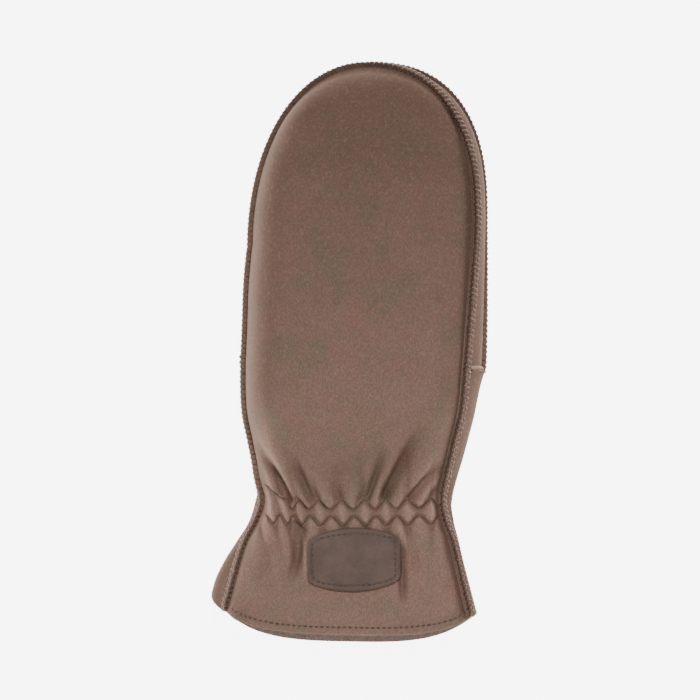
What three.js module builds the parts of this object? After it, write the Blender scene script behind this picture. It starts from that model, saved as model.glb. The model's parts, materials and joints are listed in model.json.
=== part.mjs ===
// A suede leather mitten that lies on its palm, back of the hand up. Millimetres, +Z up, +Y to the
// fingertips. The panels are open sheets of points on the leather's outer face, thickened inwards by the
// wall. Along each seam the edges of two panels turn out as lips that stand side by side, as an overcast
// outseam holds them.

import * as THREE from 'three';

// Driving sizes
const length = 270;
const handHalfWidth = 57.5;
const crownHeight = 36;
const wall = 1.2;
const seamGap = 0.3;
const lipHeight = 2.3;
const thumbLength = 64;
const thumbHalfWidth = 18;
const thumbHeight = 14;
const thumbCentre = 27;
const thumbSeamHeight = 6;
const thumbRootSeamHeight = 3.2;
const thumbClearance = 1;
const crossSeamHeight = 3;
const crossSeamAlong = 0.465;
const hemSag = 9.2;
const palmHemExtra = 4.2;
const hemPower = 3.3;
const hemFullness = 0.8;
const hemDrop = { left: 3.7, inner: 6, outer: 6 };
const hemCornerSlope = 0.8;
const patchWidth = 44;
const patchHeight = 29;
const patchThickness = 1.4;
const patchAlong = 0.141;
const patchCentre = 1.9;
const patchSideBow = 0.05;
const patchBarrel = 0.22;
// The whole mitten's middle, counted from the section table's own.
const middle = { x: -0.36, y: -0.6 };

// How far the leather takes to round off or to level out: from the cross seam, at the edges of the
// thumb's bed and of its top, before the thumb's round end, and beyond it on the palm. The share of the
// thumb that is straight.
const crossFade = 12;
const thumbBedRound = 7;
const thumbTopRound = 8;
const thumbEndRound = 16;
const thumbStraight = 0.4;
const humpFade = 16;
const archFade = 10;

// The same as shares of the length for the back and the palm below the round tip, and of the width for
// the back's seam margin and the palm's rolled sides.
const backRound = 0.13;
const palmRound = 0.07;
const seamMargin = 0.08;
const cornerShare = 0.1;

// How far up the lips of the seams are turned, in radians: the left ones at the cuff, all round the hand
// and the tip, and the inner ones down the right side.
const lipRises = { cuff: 0.75, hand: 0.15, innerSide: 1.05, outerSide: 0 };
const wristAlong = 0.2;
const handAlong = 0.3;
const tipPullAlong = 0.66;
const sideWallBulge = 0.06;
const roundBulge = 0.04;
const shortestLip = 0.25;
const mostLean = 0.6;

// Faceting
const cells = {
  sideRows: [6, 12, 5, 12],
  corner: 4,
  floor: 5,
  mouth: 6,
  side: 3,
  thumbRows: 7,
  patch: [10, 7],
};
cells.across = 2 * cells.corner + 2 * cells.floor + cells.mouth;

// A table of rows as a list of records, one for each row, under the names of its columns.
const table = (columns, rows) =>
  rows.map((row) => Object.fromEntries(columns.map((column, i) => [column, row[i]])));

// Sections from hem to fingers. along is a share of the length; left, inner and outer are the plan places
// of the left seam, the right inner seam and the right edge, as shares of half the hand's width; bulge is
// how far the palm stands out past the left seam; the last four are heights as shares of the crown
// height.
const sections = table(
  ['along', 'left', 'inner', 'outer', 'bulge', 'leftZ', 'innerZ', 'outerZ', 'crown'],
  [
    [0.062, 1.017, 0.985, 0.987, 0.13, 0.45, 0.58, 0.3, 0.76],
    [0.102, 0.956, 0.928, 0.924, 0.14, 0.44, 0.58, 0.3, 0.76],
    [0.138, 0.903, 0.879, 0.872, 0.112, 0.41, 0.57, 0.3, 0.74],
    [0.171, 0.846, 0.838, 0.836, 0.07, 0.36, 0.54, 0.28, 0.7],
    [0.202, 0.769, 0.781, 0.8, 0.055, 0.32, 0.49, 0.25, 0.63],
    [0.24, 0.71, 0.749, 0.815, 0.062, 0.28, 0.45, 0.22, 0.58],
    [0.282, 0.745, 0.781, 0.871, 0, 0.25, 0.5, 0.24, 0.68],
    [0.31, 0.765, 0.81, 0.911, 0, 0.25, 0.56, 0.27, 0.78],
    [0.344, 0.797, 0.846, 0.956, 0, 0.25, 0.62, 0.31, 0.87],
    [0.394, 0.843, 0.903, 1.013, 0, 0.25, 0.7, 0.36, 0.95],
    [0.464, 0.854, 0.936, 1.062, 0, 0.25, 0.75, 0.4, 1],
    [0.526, 0.843, 0.96, 1.074, 0, 0.25, 0.77, 0.41, 1],
    [0.616, 0.828, 0.993, 1.078, 0, 0.25, 0.78, 0.38, 0.97],
    [0.706, 0.793, 1.021, 1.078, 0, 0.25, 0.77, 0.33, 0.92],
    [0.83, 0.793, 1.021, 1.078, 0, 0.25, 0.71, 0.28, 0.84],
    [0.912, 0.793, 1.021, 1.078, 0, 0.25, 0.64, 0.26, 0.78],
  ],
);
const firstAlong = 0.062;
const rowBreakAlong = 0.171;
const cornerAlong = 0.912;

// The round fingertip: a quarter of a superellipse for each of the three seams, all through one top
// point. along is where each quarter starts, reach its width past the top point's line, power its
// squareness.
const tipLine = 0.146;
const tipAlong = 0.991;
const tips = {
  left: { along: 0.673, reach: 0.944, power: 2.1 },
  inner: { along: 0.742, reach: 0.875, power: 2.22 },
  outer: { along: 0.732, reach: 0.932, power: 2.55 },
};
const tipHeight = 0.27;

// Folds of the back: each runs from one point to another, as shares of half the hand's width across and
// of the length along; width is its half width and depth its height over the leather, less than nothing
// for a valley, both in shares of the crown height. fade is how much of its length each end takes to die
// out.
const folds = [
  { from: [-0.77, 0.33], to: [-0.47, 0.245], width: 0.12, depth: -0.12, fade: 0.3 },
  { from: [-0.74, 0.372], to: [-0.4, 0.245], width: 0.12, depth: 0.08, fade: 0.3 },
  { from: [-0.47, 0.31], to: [-0.3, 0.245], width: 0.1, depth: -0.08, fade: 0.3 },
  { from: [-0.36, 0.29], to: [-0.17, 0.232], width: 0.1, depth: 0.05, fade: 0.4 },
  { from: [0.26, 0.318], to: [0.15, 0.258], width: 0.1, depth: -0.08, fade: 0.35 },
  { from: [0.56, 0.37], to: [0.27, 0.256], width: 0.12, depth: -0.12, fade: 0.35 },
  { from: [0.71, 0.3], to: [0.46, 0.25], width: 0.1, depth: -0.08, fade: 0.35 },
  { from: [0.72, 0.28], to: [0.53, 0.236], width: 0.1, depth: 0.06, fade: 0.4 },
  { from: [-0.42, 0.21], to: [-0.46, 0.075], width: 0.11, depth: -0.1, fade: 0.3 },
  { from: [-0.33, 0.17], to: [-0.41, 0.07], width: 0.1, depth: 0.06, fade: 0.35 },
  { from: [0.42, 0.17], to: [0.43, 0.062], width: 0.1, depth: -0.08, fade: 0.3 },
  { from: [0.38, 0.205], to: [0.47, 0.155], width: 0.1, depth: 0.06, fade: 0.4 },
];

const suede = { color: 0x85705f, roughness: 0.95, metalness: 0 };
const smoothLeather = { color: 0x6b5d54, roughness: 0.6, metalness: 0 };

const lerp = (a, b, t) => a + (b - a) * t;
const clamp = (t) => Math.min(1, Math.max(0, t));
const smooth = (t) => clamp(t) ** 2 * (3 - 2 * clamp(t));
const puff = (t) => Math.sqrt(1 - (1 - clamp(t)) ** 2);
const yAt = (along) => (along - 0.5) * length;

// Rows near the hem follow it, and rows near the round tip follow the tip's edge. The hem sags between its
// corners, and each side seam runs past the rows' own places there by its drop.
const hemPull = (along) => clamp((wristAlong - along) / (wristAlong - firstAlong)) ** 2;
const tipPull = (along) => clamp((along - tipPullAlong) / (cornerAlong - tipPullAlong)) ** 2;
const hemCurve = (u, extra) => -(hemSag + extra) * (1 - Math.abs(2 * u - 1) ** hemPower) ** hemFullness;
const sideY = (seam, along) => yAt(along) - hemPull(along) * hemDrop[seam];
const steps = (count) => Array.from({ length: count + 1 }, (_, i) => i / count);

// One column of the section table at a place along the length, on a smooth curve through the rows.
function sectionValue(along, column) {
  const last = sections.length - 1;
  let i = 0;
  while (i < last - 1 && along > sections[i + 1].along) i += 1;
  const row = (k) => sections[Math.min(last, Math.max(0, k))];
  const slope = (k) => {
    const span = row(k + 1).along - row(k - 1).along;
    return (row(k + 1)[column] - row(k - 1)[column]) / span;
  };
  const span = row(i + 1).along - row(i).along;
  const t = clamp((along - row(i).along) / span);
  const a = row(i)[column];
  const b = row(i + 1)[column];
  const h = t * t * (3 - 2 * t);
  return lerp(a, b, h) + span * (slope(i) * t * (1 - t) ** 2 - slope(i + 1) * t * t * (1 - t));
}

// Half width of a seam's outline past the middle, with the round tip beyond the start of its superellipse.
function outlineReach(along, seam) {
  const tip = tips[seam];
  const sign = seam === 'left' ? -1 : 1;
  if (along <= tip.along) {
    return sectionValue(along, seam) * handHalfWidth;
  }
  const rise = (along - tip.along) / (tipAlong - tip.along);
  const width = tip.reach * (1 - rise ** tip.power) ** (1 / tip.power);
  return (width + sign * tipLine) * handHalfWidth;
}

// Places along the two sides, from the hem to the corner where the round tip begins.
function sideAlongs() {
  const breaks = [firstAlong, rowBreakAlong, handAlong, crossSeamAlong, cornerAlong];
  const alongs = [firstAlong];
  cells.sideRows.forEach((count, k) => {
    steps(count).slice(1).forEach((t) => alongs.push(lerp(breaks[k], breaks[k + 1], t)));
  });
  return alongs;
}

// Places across the back, closer together near its seams.
const columns = steps(cells.across).map((t) => lerp(t, (1 - Math.cos(Math.PI * t)) / 2, 0.5));
const alongs = sideAlongs();
const crossRow = cells.sideRows[0] + cells.sideRows[1] + cells.sideRows[2];
const half = cells.across / 2;

// How far a seam's lips are turned up from flat, in radians.
function lipRise(seam, along, tipShare) {
  const { cuff, hand, innerSide, outerSide } = lipRises;
  if (seam === 'left') {
    return lerp(cuff, hand, smooth((along - wristAlong) / (handAlong - wristAlong)));
  }
  return lerp(seam === 'inner' ? innerSide : outerSide, hand, tipShare);
}

// A place on a seam beside the hand, then one round the tip, where share goes from the corner to the top
// point.
function sidePoint(seam, along) {
  const sign = seam === 'left' ? -1 : 1;
  const height = sectionValue(along, `${seam}Z`) * crownHeight;
  return new THREE.Vector3(sign * outlineReach(along, seam), sideY(seam, along), height);
}

function tipPoint(seam, share) {
  const tip = tips[seam];
  const sign = seam === 'left' ? -1 : 1;
  const corner = (cornerAlong - tip.along) / (tipAlong - tip.along);
  const angle = lerp(Math.asin(corner ** (tip.power / 2)), Math.PI / 2, share);
  const reach = tip.reach * Math.max(0, Math.cos(angle)) ** (2 / tip.power);
  const along = lerp(tip.along, tipAlong, Math.sin(angle) ** (2 / tip.power));
  const cornerHeight = sectionValue(cornerAlong, `${seam}Z`);
  const height = lerp(tipHeight, cornerHeight, (1 - share) ** 0.7) * crownHeight;
  return new THREE.Vector3((sign * reach + tipLine) * handHalfWidth, yAt(along), height);
}

// A seam as a list of places, clockwise seen from above, each with the way out of the mitten and the way
// across the seam to the panel nearer the back.
function seamLine(points, rises) {
  return points.map((point, i) => {
    const before = points[Math.max(0, i - 1)];
    const after = points[Math.min(points.length - 1, i + 1)];
    const tangent = after.clone().sub(before).normalize();
    const level = new THREE.Vector3(-tangent.y, tangent.x, 0).normalize();
    const out = level.multiplyScalar(Math.cos(rises[i])).setZ(Math.sin(rises[i]));
    out.addScaledVector(tangent, -out.dot(tangent)).normalize();
    return { point, out, across: tangent.clone().cross(out).normalize() };
  });
}

function wholeSeam(seam, fromRow) {
  const side = alongs.slice(fromRow).map((along) => {
    return { point: sidePoint(seam, along), rise: lipRise(seam, along, 0) };
  });
  const tip = columns.slice(1, half + 1).map((u) => {
    return { point: tipPoint(seam, 2 * u), rise: lipRise(seam, cornerAlong, 2 * u) };
  });
  const upwards = [...side, ...tip];
  const clockwise = seam === 'left' ? upwards : upwards.reverse();
  return seamLine(clockwise.map((place) => place.point), clockwise.map((place) => place.rise));
}

const leftSeam = wholeSeam('left', 0);
const innerSeam = wholeSeam('inner', 0);
const outerSeam = wholeSeam('outer', crossRow);

// Where a panel's outer face meets its lip: side is 1 for the panel nearer the back, -1 for the other.
const edgePoint = ({ point, across }, side) => {
  return point.clone().addScaledVector(across, side * (seamGap / 2 + wall));
};
const lipPoint = (edge, out) => edge.clone().addScaledVector(out, lipHeight);

// A panel as an open sheet of its outer face, built up from grids that share their places.
class Sheet {
  constructor() {
    this.points = [];
    this.faces = [];
    this.seats = new Map();
  }

  add(point) {
    this.points.push(point);
    return this.points.length - 1;
  }

  // A grid of places, rows of equal length, whose faces look along the cross product of row by column.
  grid(rows) {
    for (let j = 0; j + 1 < rows.length; j += 1) {
      for (let i = 0; i + 1 < rows[j].length; i += 1) {
        this.quad(rows[j][i], rows[j][i + 1], rows[j + 1][i + 1], rows[j + 1][i]);
      }
    }
  }

  quad(a, b, c, d) {
    this.faces.push([a, b, c], [a, c, d]);
  }

  // A lip along a run of edge places, walked clockwise round the panel as its outer face is seen. Each
  // place has its way out and its seat, which is the seam's middle plane and the side of it that the
  // panel keeps to.
  lip(run) {
    const edge = run.map(({ id }) => id);
    const ends = run.map(({ id, out }) => this.add(lipPoint(this.points[id], out)));
    run.forEach(({ id, seat }, i) => {
      this.seats.set(id, seat);
      this.seats.set(ends[i], seat);
    });
    this.grid([edge, ends]);
  }

  // The closed body between the sheet and its copy one wall further in. A point's way in is a mean of the
  // faces round it, and it is lengthened where they lean away from that mean, up to a limit.
  solid() {
    const normals = this.points.map(() => new THREE.Vector3());
    const faceNormals = this.faces.map(([a, b, c]) => {
      const side = this.points[b].clone().sub(this.points[a]);
      return side.cross(this.points[c].clone().sub(this.points[a])).normalize();
    });
    this.faces.forEach((face, f) => {
      face.forEach((id, k) => {
        const one = this.points[face[(k + 1) % 3]].clone().sub(this.points[id]);
        const two = this.points[face[(k + 2) % 3]].clone().sub(this.points[id]);
        normals[id].addScaledVector(faceNormals[f], one.angleTo(two));
      });
    });
    normals.forEach((normal) => normal.normalize());
    const lean = this.points.map(() => 1);
    this.faces.forEach((face, f) => {
      face.forEach((id) => {
        lean[id] = Math.min(lean[id], normals[id].dot(faceNormals[f]));
      });
    });
    const count = this.points.length;
    const inner = this.points.map((point, i) => {
      return point.clone().addScaledVector(normals[i], -wall / Math.max(mostLean, lean[i]));
    });
    this.seats.forEach(({ point, normal }, id) => {
      const depth = inner[id].clone().sub(point).dot(normal);
      inner[id].addScaledVector(normal, Math.max(0, seamGap / 2 - depth));
    });
    const edges = new Set(this.faces.flatMap(([a, b, c]) => [`${a},${b}`, `${b},${c}`, `${c},${a}`]));
    const triangles = this.faces.flatMap(([a, b, c]) => [a, b, c, a + count, c + count, b + count]);
    edges.forEach((edge) => {
      const [a, b] = edge.split(',').map(Number);
      if (!edges.has(`${b},${a}`)) {
        triangles.push(b, a, a + count, b, a + count, b + count);
      }
    });
    return solidGeometry(this.points.concat(inner), triangles);
  }
}

// Lip places of a panel on one side of a seam, and those along the cross seam.
function seamRun(ids, places, side) {
  return ids.map((id, i) => {
    const { point, out, across } = places[i];
    return { id, out, seat: { point, normal: across.clone().multiplyScalar(side) } };
  });
}

function crossRun(ids, outs, side) {
  const seat = { point: new THREE.Vector3(0, crossY, 0), normal: new THREE.Vector3(0, side, 0) };
  return ids.map((id, i) => ({ id, out: outs[i], seat }));
}

function solidGeometry(points, triangles) {
  const geometry = new THREE.BufferGeometry();
  const numbers = points.flatMap((point) => point.toArray());
  geometry.setAttribute('position', new THREE.Float32BufferAttribute(numbers, 3));
  geometry.setIndex(triangles);
  geometry.computeVertexNormals();
  return geometry;
}

function piece(name, geometry, look) {
  const mesh = new THREE.Mesh(geometry, new THREE.MeshStandardMaterial(look));
  mesh.name = name;
  return mesh;
}

// Height that the folds add to the back at a place.
function foldHeight(x, y) {
  return folds.reduce((sum, fold) => {
    const [ax, ay] = [fold.from[0] * handHalfWidth, yAt(fold.from[1])];
    const [bx, by] = [fold.to[0] * handHalfWidth - ax, yAt(fold.to[1]) - ay];
    const t = ((x - ax) * bx + (y - ay) * by) / (bx * bx + by * by);
    const away = ((x - ax) * by - (y - ay) * bx) / Math.hypot(bx, by);
    const ends = smooth(t / fold.fade + 0.5) * smooth((1 - t) / fold.fade + 0.5);
    const across = Math.exp(-((away / (fold.width * crownHeight)) ** 2));
    return sum + fold.depth * crownHeight * ends * across;
  }, 0);
}

// The back's outer face at a share u across and a place along the sides. left and right are its edges
// there, tip the round edge's place at the same share and chord the straight line's between that edge's
// ends.
function backPoint(u, along, left, right, tip, chord) {
  const point = left.clone().lerp(right, u);
  point.addScaledVector(tip.clone().sub(chord), tipPull(along));
  point.y += hemPull(along) * hemCurve(u, 0);
  const inside = Math.min(u, 1 - u);
  const swell = puff(2 * inside) * puff((cornerAlong - along) / backRound);
  const crown = sectionValue(along, 'crown') * crownHeight;
  const seamFade = smooth(inside / seamMargin);
  point.z += (crown - point.z) * swell + foldHeight(point.x, point.y) * seamFade;
  return point;
}

function backPanel() {
  const sheet = new Sheet();
  const last = alongs.length - 1;
  const seam = [...leftSeam, ...innerSeam.slice(1)];
  const edges = seam.map((place) => edgePoint(place, 1));
  const tipEdges = edges.slice(last, last + cells.across + 1);
  const rows = alongs.map((along, j) => {
    if (j === last) {
      return tipEdges.map((edge) => sheet.add(edge));
    }
    const [left, right] = [edges[j], edges[edges.length - 1 - j]];
    return columns.map((u, i) => {
      if (j > 0 && (i === 0 || i === cells.across)) {
        return sheet.add(i === 0 ? left : right);
      }
      const chord = tipEdges[0].clone().lerp(tipEdges[cells.across], u);
      return sheet.add(backPoint(u, along, left, right, tipEdges[i], chord));
    });
  });
  sheet.grid(rows);
  sheet.lip(seamRun(rimOf(rows), seam, 1));
  return sheet.solid();
}

// The places up the left side of a grid, over its last row and down its right side.
function rimOf(rows) {
  const right = rows.map((row) => row[row.length - 1]).reverse();
  return [...rows.map((row) => row[0]), ...rows[rows.length - 1].slice(1, -1), ...right];
}

// The underside. Places across it go from the left seam to the right edge; each corner rolls from its
// edge's height down to the floor in a share of the width, and the stretch over the thumb's mouth has
// cells of its own.
const crossY = yAt(crossSeamAlong);
const crossEdge = seamGap / 2 + wall;
const mouth = { left: thumbCentre - thumbHalfWidth, right: thumbCentre + thumbHalfWidth };

function undersideColumns() {
  const left = -outlineReach(crossSeamAlong, 'left');
  const width = outlineReach(crossSeamAlong, 'outer') - left;
  const corner = steps(cells.corner).map((t) => cornerShare * (1 - Math.cos((Math.PI * t) / 2)));
  const stretch = (from, to, count) => steps(count).slice(1).map((t) => lerp(from, to, t));
  const [a, b] = [(mouth.left - left) / width, (mouth.right - left) / width];
  const floors = [...stretch(cornerShare, a, cells.floor), ...stretch(a, b, cells.mouth)];
  const rest = stretch(b, 1 - cornerShare, cells.floor);
  const end = corner.map((u) => 1 - u).reverse().slice(1);
  return [...corner, ...floors, ...rest, ...end];
}

const underColumns = undersideColumns();
const mouthStart = cells.corner + cells.floor;
const mouthEnd = mouthStart + cells.mouth;

// The thumb's seam runs round its outline at a height that drops at its root.
const thumbRound = crossY + thumbLength - thumbHalfWidth;
const thumbSeamAt = (y) => {
  return lerp(thumbRootSeamHeight, thumbSeamHeight, smooth((y - crossY) / crossFade));
};
const thumbReach = (y) => Math.sqrt(thumbHalfWidth ** 2 - Math.max(0, y - thumbRound) ** 2);
const thumbCorner = thumbRound + thumbHalfWidth * Math.SQRT1_2;

function thumbSeam(rootY) {
  const side = steps(cells.thumbRows).map((t) => {
    const y = lerp(rootY, thumbCorner, t);
    return new THREE.Vector3(-thumbReach(y), y, thumbSeamAt(y));
  });
  const arc = steps(cells.mouth).slice(1, -1).map((t) => {
    const angle = Math.PI * lerp(0.75, 0.25, t);
    const y = thumbRound + thumbHalfWidth * Math.sin(angle);
    return new THREE.Vector3(thumbHalfWidth * Math.cos(angle), y, thumbSeamAt(y));
  });
  const other = side.map((point) => point.clone().setX(-point.x)).reverse();
  const points = [...side, ...arc, ...other].map((point) => point.setX(point.x + thumbCentre));
  return seamLine(points, points.map(() => 0));
}

// Height of the lower palm's outer face away from its rolled sides: flat, and lifted where it meets the
// cross seam.
function lowerFloor(x, y) {
  const near = 1 - smooth((crossY - y) / crossFade);
  const inside = Math.min(x - mouth.left, mouth.right - x);
  const root = thumbSeamAt(crossY) - crossEdge;
  const overThumb = root * (1 - puff(inside / thumbBedRound));
  const beside = lerp(root, crossSeamHeight, smooth(-inside / crossFade));
  return near * (inside > 0 ? overThumb : beside);
}

// The same for the upper palm, which also arches over the thumb.
function upperFloor(x, y) {
  const inside = Math.min(x - mouth.left, mouth.right - x);
  const top = thumbHeight + thumbClearance;
  const arch = lerp(thumbSeamHeight, top, puff(inside / thumbTopRound));
  const lift = inside > 0 ? arch : lerp(thumbSeamHeight, crossSeamHeight, smooth(-inside / crossFade));
  const beyond = Math.hypot(x - thumbCentre, Math.max(0, y - thumbRound)) - thumbHalfWidth;
  const hump = top * (1 - smooth(beyond / humpFade));
  const far = smooth((y - crossY) / archFade);
  return lerp(lift, hump, far);
}

// A place on the underside at a share u across, between its two edges. Where the palm bulges out past the
// left seam, its corner there is a half circle instead of a quarter.
function undersidePoint(u, along, left, right, floor) {
  const bulge = Math.max(0, sectionValue(along, 'bulge'));
  const round = u < cornerShare ? smooth(bulge / roundBulge) : 0;
  const t = clamp(u / cornerShare);
  const point = left.clone().lerp(right, lerp(u, cornerShare * t ** 3, round));
  point.x -= bulge * handHalfWidth * Math.sin(Math.PI * t);
  const quarter = puff(Math.min(u, 1 - u) / cornerShare);
  const roll = lerp(quarter, (1 - Math.cos(Math.PI * t)) / 2, round);
  point.z = lerp(point.z, floor(point.x, point.y), roll);
  return point;
}

// Lets a place of the palm down to the hem, or up where it stands outside the two seams.
function letDown(point, along, left, right) {
  const share = clamp((point.x - left.x) / (right.x - left.x));
  const outside = Math.max(0, left.x - point.x, point.x - right.x);
  point.y += hemPull(along) * (hemCurve(share, palmHemExtra) + hemCornerSlope * outside);
}

// The way out of the mitten across a row of places that ends at the cross seam. Where it points down, the
// lip is only as long as the height over the floor allows.
function rowOuts(points) {
  return points.map((point, i) => {
    const along = points[Math.min(points.length - 1, i + 1)].clone().sub(points[Math.max(0, i - 1)]);
    const out = new THREE.Vector3(along.z, 0, -along.x).normalize();
    const room = out.z < -0.5 ? clamp((point.z - seamGap) / lipHeight) : 1;
    return out.multiplyScalar(Math.max(shortestLip, room));
  });
}

// The side wall between the palm's right edge and the inner seam, t from one to the other.
function sideWallPoint(t, low, high) {
  const point = low.clone().lerp(high, t);
  point.x += sideWallBulge * crownHeight * Math.sin(Math.PI * t);
  return point;
}

function palmLower() {
  const sheet = new Sheet();
  const last = crossRow;
  const innerEnd = innerSeam.length - 1;
  const rows = alongs.slice(0, last + 1).map((along, j) => {
    const left = edgePoint(leftSeam[j], -1);
    const high = edgePoint(innerSeam[innerEnd - j], -1);
    const low = sidePoint('outer', along);
    left.y = j === last ? crossY - crossEdge : sideY('left', along);
    low.y = j === last ? crossY - crossEdge : sideY('outer', along);
    high.y = low.y;
    const under = underColumns.map((u) => undersidePoint(u, along, left, low, lowerFloor));
    const wallPlaces = steps(cells.side).slice(1).map((t) => sideWallPoint(t, low, high));
    const row = [...under, ...wallPlaces];
    row.forEach((point) => letDown(point, along, left, high));
    return row.map((point) => sheet.add(point));
  });
  sheet.grid([...rows].reverse());
  const seam = thumbSeam(crossY);
  const edges = seam.map((place) => edgePoint(place, -1));
  const bed = thumbGrid(sheet, edges, rows[last].slice(mouthStart, mouthEnd + 1), (u, point) => {
    const away = Math.min(u, 1 - u) * 2 * thumbHalfWidth;
    point.z *= 1 - puff(away / thumbBedRound) * puff((thumbCorner - point.y) / thumbBedRound);
  });
  sheet.grid([...bed].reverse());
  const cross = rows[last];
  const outs = rowOuts(cross.map((id) => sheet.points[id]));
  const sideRun = (column, places) => seamRun(rows.slice(0, last).map((row) => row[column]), places, -1);
  const innerSide = [...innerSeam].reverse();
  const run = [
    ...sideRun(0, leftSeam),
    ...seamRun([cross[0]], [leftSeam[last]], -1),
    ...crossRun(cross.slice(1, mouthStart), outs.slice(1), -1),
    ...seamRun(rimOf(bed), seam, -1),
    ...crossRun(cross.slice(mouthEnd + 1, -1), outs.slice(mouthEnd + 1), -1),
    ...seamRun([cross[cross.length - 1]], [innerSide[last]], -1),
    ...sideRun(cross.length - 1, innerSide).reverse(),
  ];
  sheet.lip(run.reverse());
  return sheet.solid();
}

// The rows of one half of the thumb, from a first row of places already in the sheet up to the round end.
function thumbGrid(sheet, edges, firstRow, shape) {
  const last = cells.thumbRows;
  const [a, b] = [edges[last], edges[last + cells.mouth]];
  return steps(last).map((t, j) => {
    if (j === 0) {
      return firstRow;
    }
    return steps(cells.mouth).map((u, i) => {
      if (j === last || i === 0 || i === cells.mouth) {
        const index = j === last ? last + i : [j, edges.length - 1 - j][i ? 1 : 0];
        return sheet.add(edges[index]);
      }
      const point = edges[j].clone().lerp(edges[edges.length - 1 - j], u);
      const bow = edges[last + i].clone().sub(a.clone().lerp(b, u));
      point.addScaledVector(bow, clamp((t - thumbStraight) / (1 - thumbStraight)) ** 2);
      shape(u, point);
      return sheet.add(point);
    });
  });
}

function thumbTop() {
  const sheet = new Sheet();
  const seam = thumbSeam(crossY + crossEdge);
  const edges = seam.map((place) => edgePoint(place, 1));
  const top = thumbHeight + thumbClearance - seamGap;
  const root = steps(cells.mouth).map((u) => {
    const point = edges[0].clone().lerp(edges[edges.length - 1], u);
    const inside = Math.min(point.x - mouth.left, mouth.right - point.x);
    point.z = lerp(point.z, top, puff(inside / thumbTopRound));
    return sheet.add(point);
  });
  const rows = thumbGrid(sheet, edges, root, (u, point) => {
    const round = puff(2 * Math.min(u, 1 - u)) * puff((thumbCorner - point.y) / thumbEndRound);
    point.z += (thumbHeight - point.z) * round;
  });
  sheet.grid(rows);
  sheet.lip(seamRun(rimOf(rows).slice(1, -1), seam.slice(1, -1), 1));
  return sheet.solid();
}

function palmUpper() {
  const sheet = new Sheet();
  const sides = alongs.slice(crossRow);
  const last = sides.length - 1;
  const seam = [...leftSeam.slice(crossRow), ...outerSeam.slice(1)];
  const edges = seam.map((place) => edgePoint(place, -1));
  const corners = [edges[last], edges[last + cells.across]];
  const rows = sides.map((along, j) => {
    const ends = [edges[j], edges[edges.length - 1 - j]];
    ends.forEach((point) => {
      point.y = j ? point.y : crossY + crossEdge;
    });
    return columns.map((even, i) => {
      if (j === last) {
        return sheet.add(edges[last + i]);
      }
      const u = lerp(underColumns[i], even, (j / last) ** 2);
      const point = ends[0].clone().lerp(ends[1], u);
      const chord = corners[0].clone().lerp(corners[1], u);
      point.addScaledVector(edges[last + i].clone().sub(chord), tipPull(along));
      const roll = puff(Math.min(u, 1 - u) / cornerShare) * puff((cornerAlong - along) / palmRound);
      point.z = lerp(point.z, upperFloor(point.x, point.y), roll);
      return sheet.add(point);
    });
  });
  sheet.grid([...rows].reverse());
  const root = rows[0];
  const outs = rowOuts(root.map((id) => sheet.points[id]));
  const run = [
    ...crossRun(root.slice(1, mouthStart), outs.slice(1), 1).reverse(),
    ...seamRun(rimOf(rows), seam, -1),
    ...crossRun(root.slice(mouthEnd + 1, -1), outs.slice(mouthEnd + 1), 1).reverse(),
  ];
  sheet.lip(run.reverse());
  return sheet.solid();
}

// The strip between the two right-hand seams. It starts where they have drawn far enough apart for its
// two lips.
function sideGusset() {
  const sheet = new Sheet();
  const end = outerSeam.length - 1;
  const needed = 2 * crossEdge + 2 * wall;
  const start = outerSeam.findIndex((place, k) => place.point.distanceTo(innerSeam[k].point) > needed);
  const rows = outerSeam.slice(start).map((place, j) => {
    const high = edgePoint(innerSeam[start + j], -1);
    const low = edgePoint(place, 1);
    if (start + j === end) {
      high.y = crossY + crossEdge;
      low.y = high.y;
    }
    return steps(cells.side).map((t) => sheet.add(sideWallPoint(1 - t, low, high)));
  });
  sheet.grid([...rows].reverse());
  const last = rows[rows.length - 1];
  const endOuts = rowOuts([...last].reverse().map((id) => sheet.points[id])).reverse();
  const run = [
    ...seamRun(rows.map((row) => row[cells.side]), outerSeam.slice(start), 1),
    ...crossRun(last.slice(1, -1), endOuts.slice(1), 1).reverse(),
    ...seamRun(rows.map((row) => row[0]), innerSeam.slice(start), -1).reverse(),
  ];
  sheet.lip(run);
  return sheet.solid();
}

// The patch: a barrel-shaped plate that follows the back's outer face a seam gap above it.
function labelPatch() {
  const [across, up] = cells.patch;
  const centre = new THREE.Vector3(patchCentre, yAt(patchAlong), 0);
  const level = steps(up).map((v) => steps(across).map((u) => {
    const x = (2 * u - 1) * (patchWidth / 2) * (1 - patchSideBow * (2 * v - 1) ** 2);
    const y = (2 * v - 1) * (patchHeight / 2) * (1 - patchBarrel * (2 * u - 1) ** 2);
    const place = new THREE.Vector3(x, y, 0).add(centre);
    place.z = backHeight(place.x, place.y) + seamGap;
    return place;
  }));
  const low = level.flat();
  const high = low.map((point) => point.clone().setZ(point.z + patchThickness));
  const id = (j, i) => j * (across + 1) + i;
  const triangles = [];
  const face = (a, b, c, d) => triangles.push(a, b, c, a, c, d);
  const count = low.length;
  for (let j = 0; j < up; j += 1) {
    for (let i = 0; i < across; i += 1) {
      const loop = [id(j, i), id(j, i + 1), id(j + 1, i + 1), id(j + 1, i)];
      face(...loop.map((k) => k + count));
      face(...[...loop].reverse());
    }
  }
  const rim = [
    ...steps(across).map((_, i) => id(0, i)),
    ...steps(up).slice(1).map((_, j) => id(j + 1, across)),
    ...steps(across).slice(1).map((_, i) => id(up, across - 1 - i)),
    ...steps(up).slice(1, -1).map((_, j) => id(up - 1 - j, 0)),
  ];
  rim.forEach((a, k) => {
    const b = rim[(k + 1) % rim.length];
    face(a, b, b + count, a + count);
  });
  return solidGeometry([...low, ...high], triangles);
}

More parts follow.
